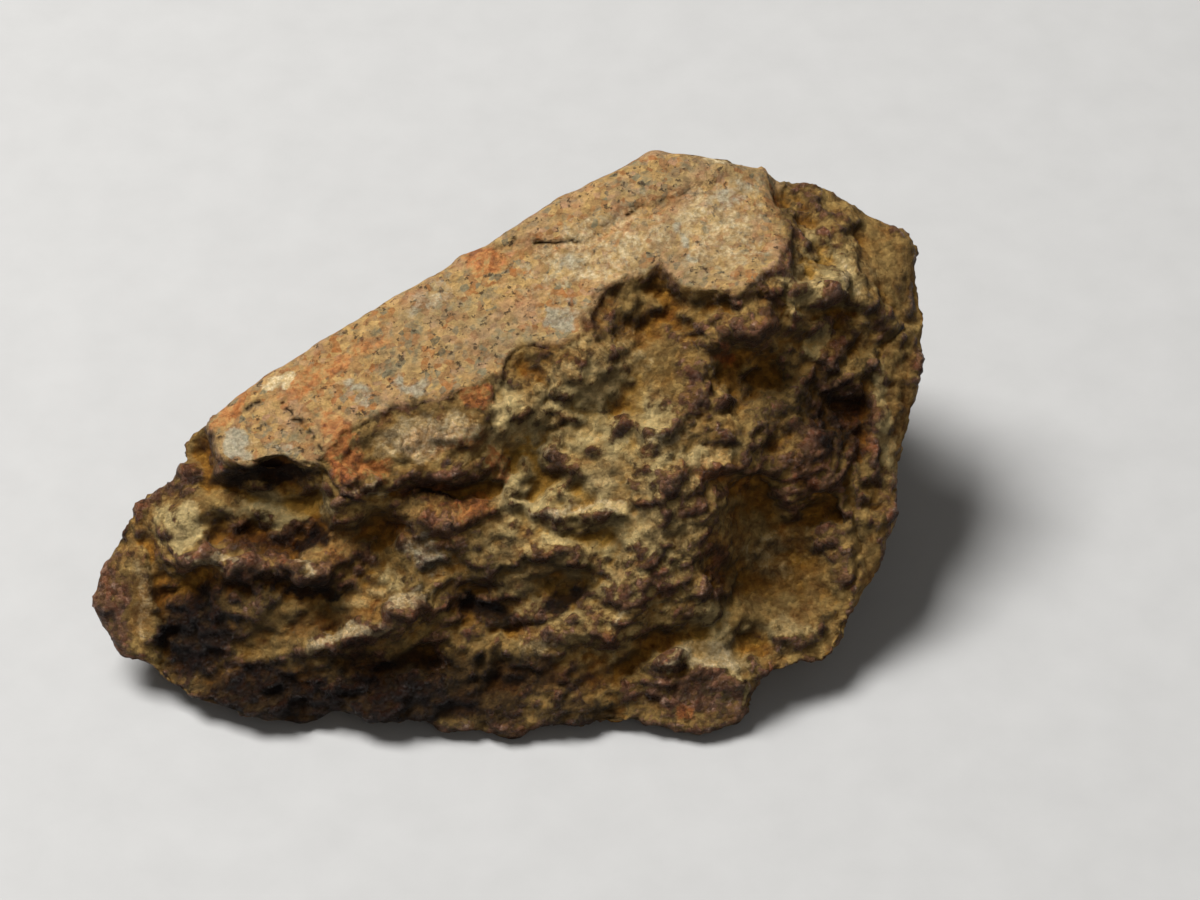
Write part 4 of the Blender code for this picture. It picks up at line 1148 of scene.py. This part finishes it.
def meteorite():
    """The stone itself, dressed and handed over in metres."""
    stone = stone_copy()
    skin = Skin(stone)
    skin.points = skin.averaged(skin.points, RELAX_ROUNDS)
    skin.refresh()
    skin.note_rim()
    settle_rim(skin)
    shape_forms(skin)
    crisp_edges(skin)
    crumble(skin)
    skin.press(crack_share(skin) * CRACK_DEPTH)
    skin.points[:, 2] = np.maximum(skin.points[:, 2], 0.0)
    skin.refresh()
    learn_relief(skin)
    learn_finishes(skin)
    skin.points *= MM
    skin.refresh()
    skin.mesh.shade_smooth()
    skin.mesh.materials.append(chondrite_finish())
    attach(stone, "root")
    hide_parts(NODE)


def pale_floor():
    """A plain pale floor, just under the stone so that the two never share a plane."""
    bm = bmesh.new()
    bmesh.ops.create_grid(bm, x_segments=1, y_segments=1, size=FLOOR_REACH)
    bmesh.ops.translate(bm, vec=(0, 0, -FLOOR_GAP * MM), verts=bm.verts)
    mesh = bpy.data.meshes.new("pale_floor")
    bm.to_mesh(mesh)
    bm.free()
    floor = placed("pale_floor", mesh)
    finish = Finish("pale floor")
    tint = finish.colours(finish.noise(3.0, 4.0), (0.3, FLOOR_DARKER), (0.7, FLOOR_LIGHTER))
    finish.link(tint, finish.shader.inputs["Base Color"])
    finish.shader.inputs["Roughness"].default_value = FLOOR_MATT
    mesh.materials.append(finish.material)


def soft_light(name, direction, distance, size, power):
    """A square soft light that faces the stone."""
    lamp = bpy.data.lights.new(name, "AREA")
    lamp.size = size
    lamp.energy = power
    light = placed(name, lamp)
    light.location = Vector(direction).normalized() * distance
    light.rotation_euler = (-light.location).to_track_quat("-Z", "Y").to_euler()


def studio():
    """A key light from the upper left, a weak fill from the front and pale air all round."""
    soft_light("key light", *KEY_LIGHT)
    soft_light("fill light", *FILL_LIGHT)
    world = bpy.data.worlds.new("studio air")
    world.use_nodes = True
    air = world.node_tree.nodes["Background"]
    air.inputs["Color"].default_value = AIR_TINT
    air.inputs["Strength"].default_value = AIR_STRENGTH
    bpy.context.scene.world = world
    bpy.context.scene.view_settings.view_transform = "Standard"


def camera():
    """Looks at the stone as the photo does."""
    lens = bpy.data.cameras.new("camera")
    lens.sensor_width = SENSOR
    lens.lens = SENSOR * EYE_DISTANCE / VIEW_WIDTH
    lens.clip_start = MM
    view = placed("camera", lens)
    turn = Matrix((RIGHT, VIEW_UP, TO_EYE)).transposed().to_4x4()
    view.matrix_world = Matrix.Translation(EYE * MM) @ turn
    bpy.context.scene.camera = view


camera()
studio()
pale_floor()
meteorite()
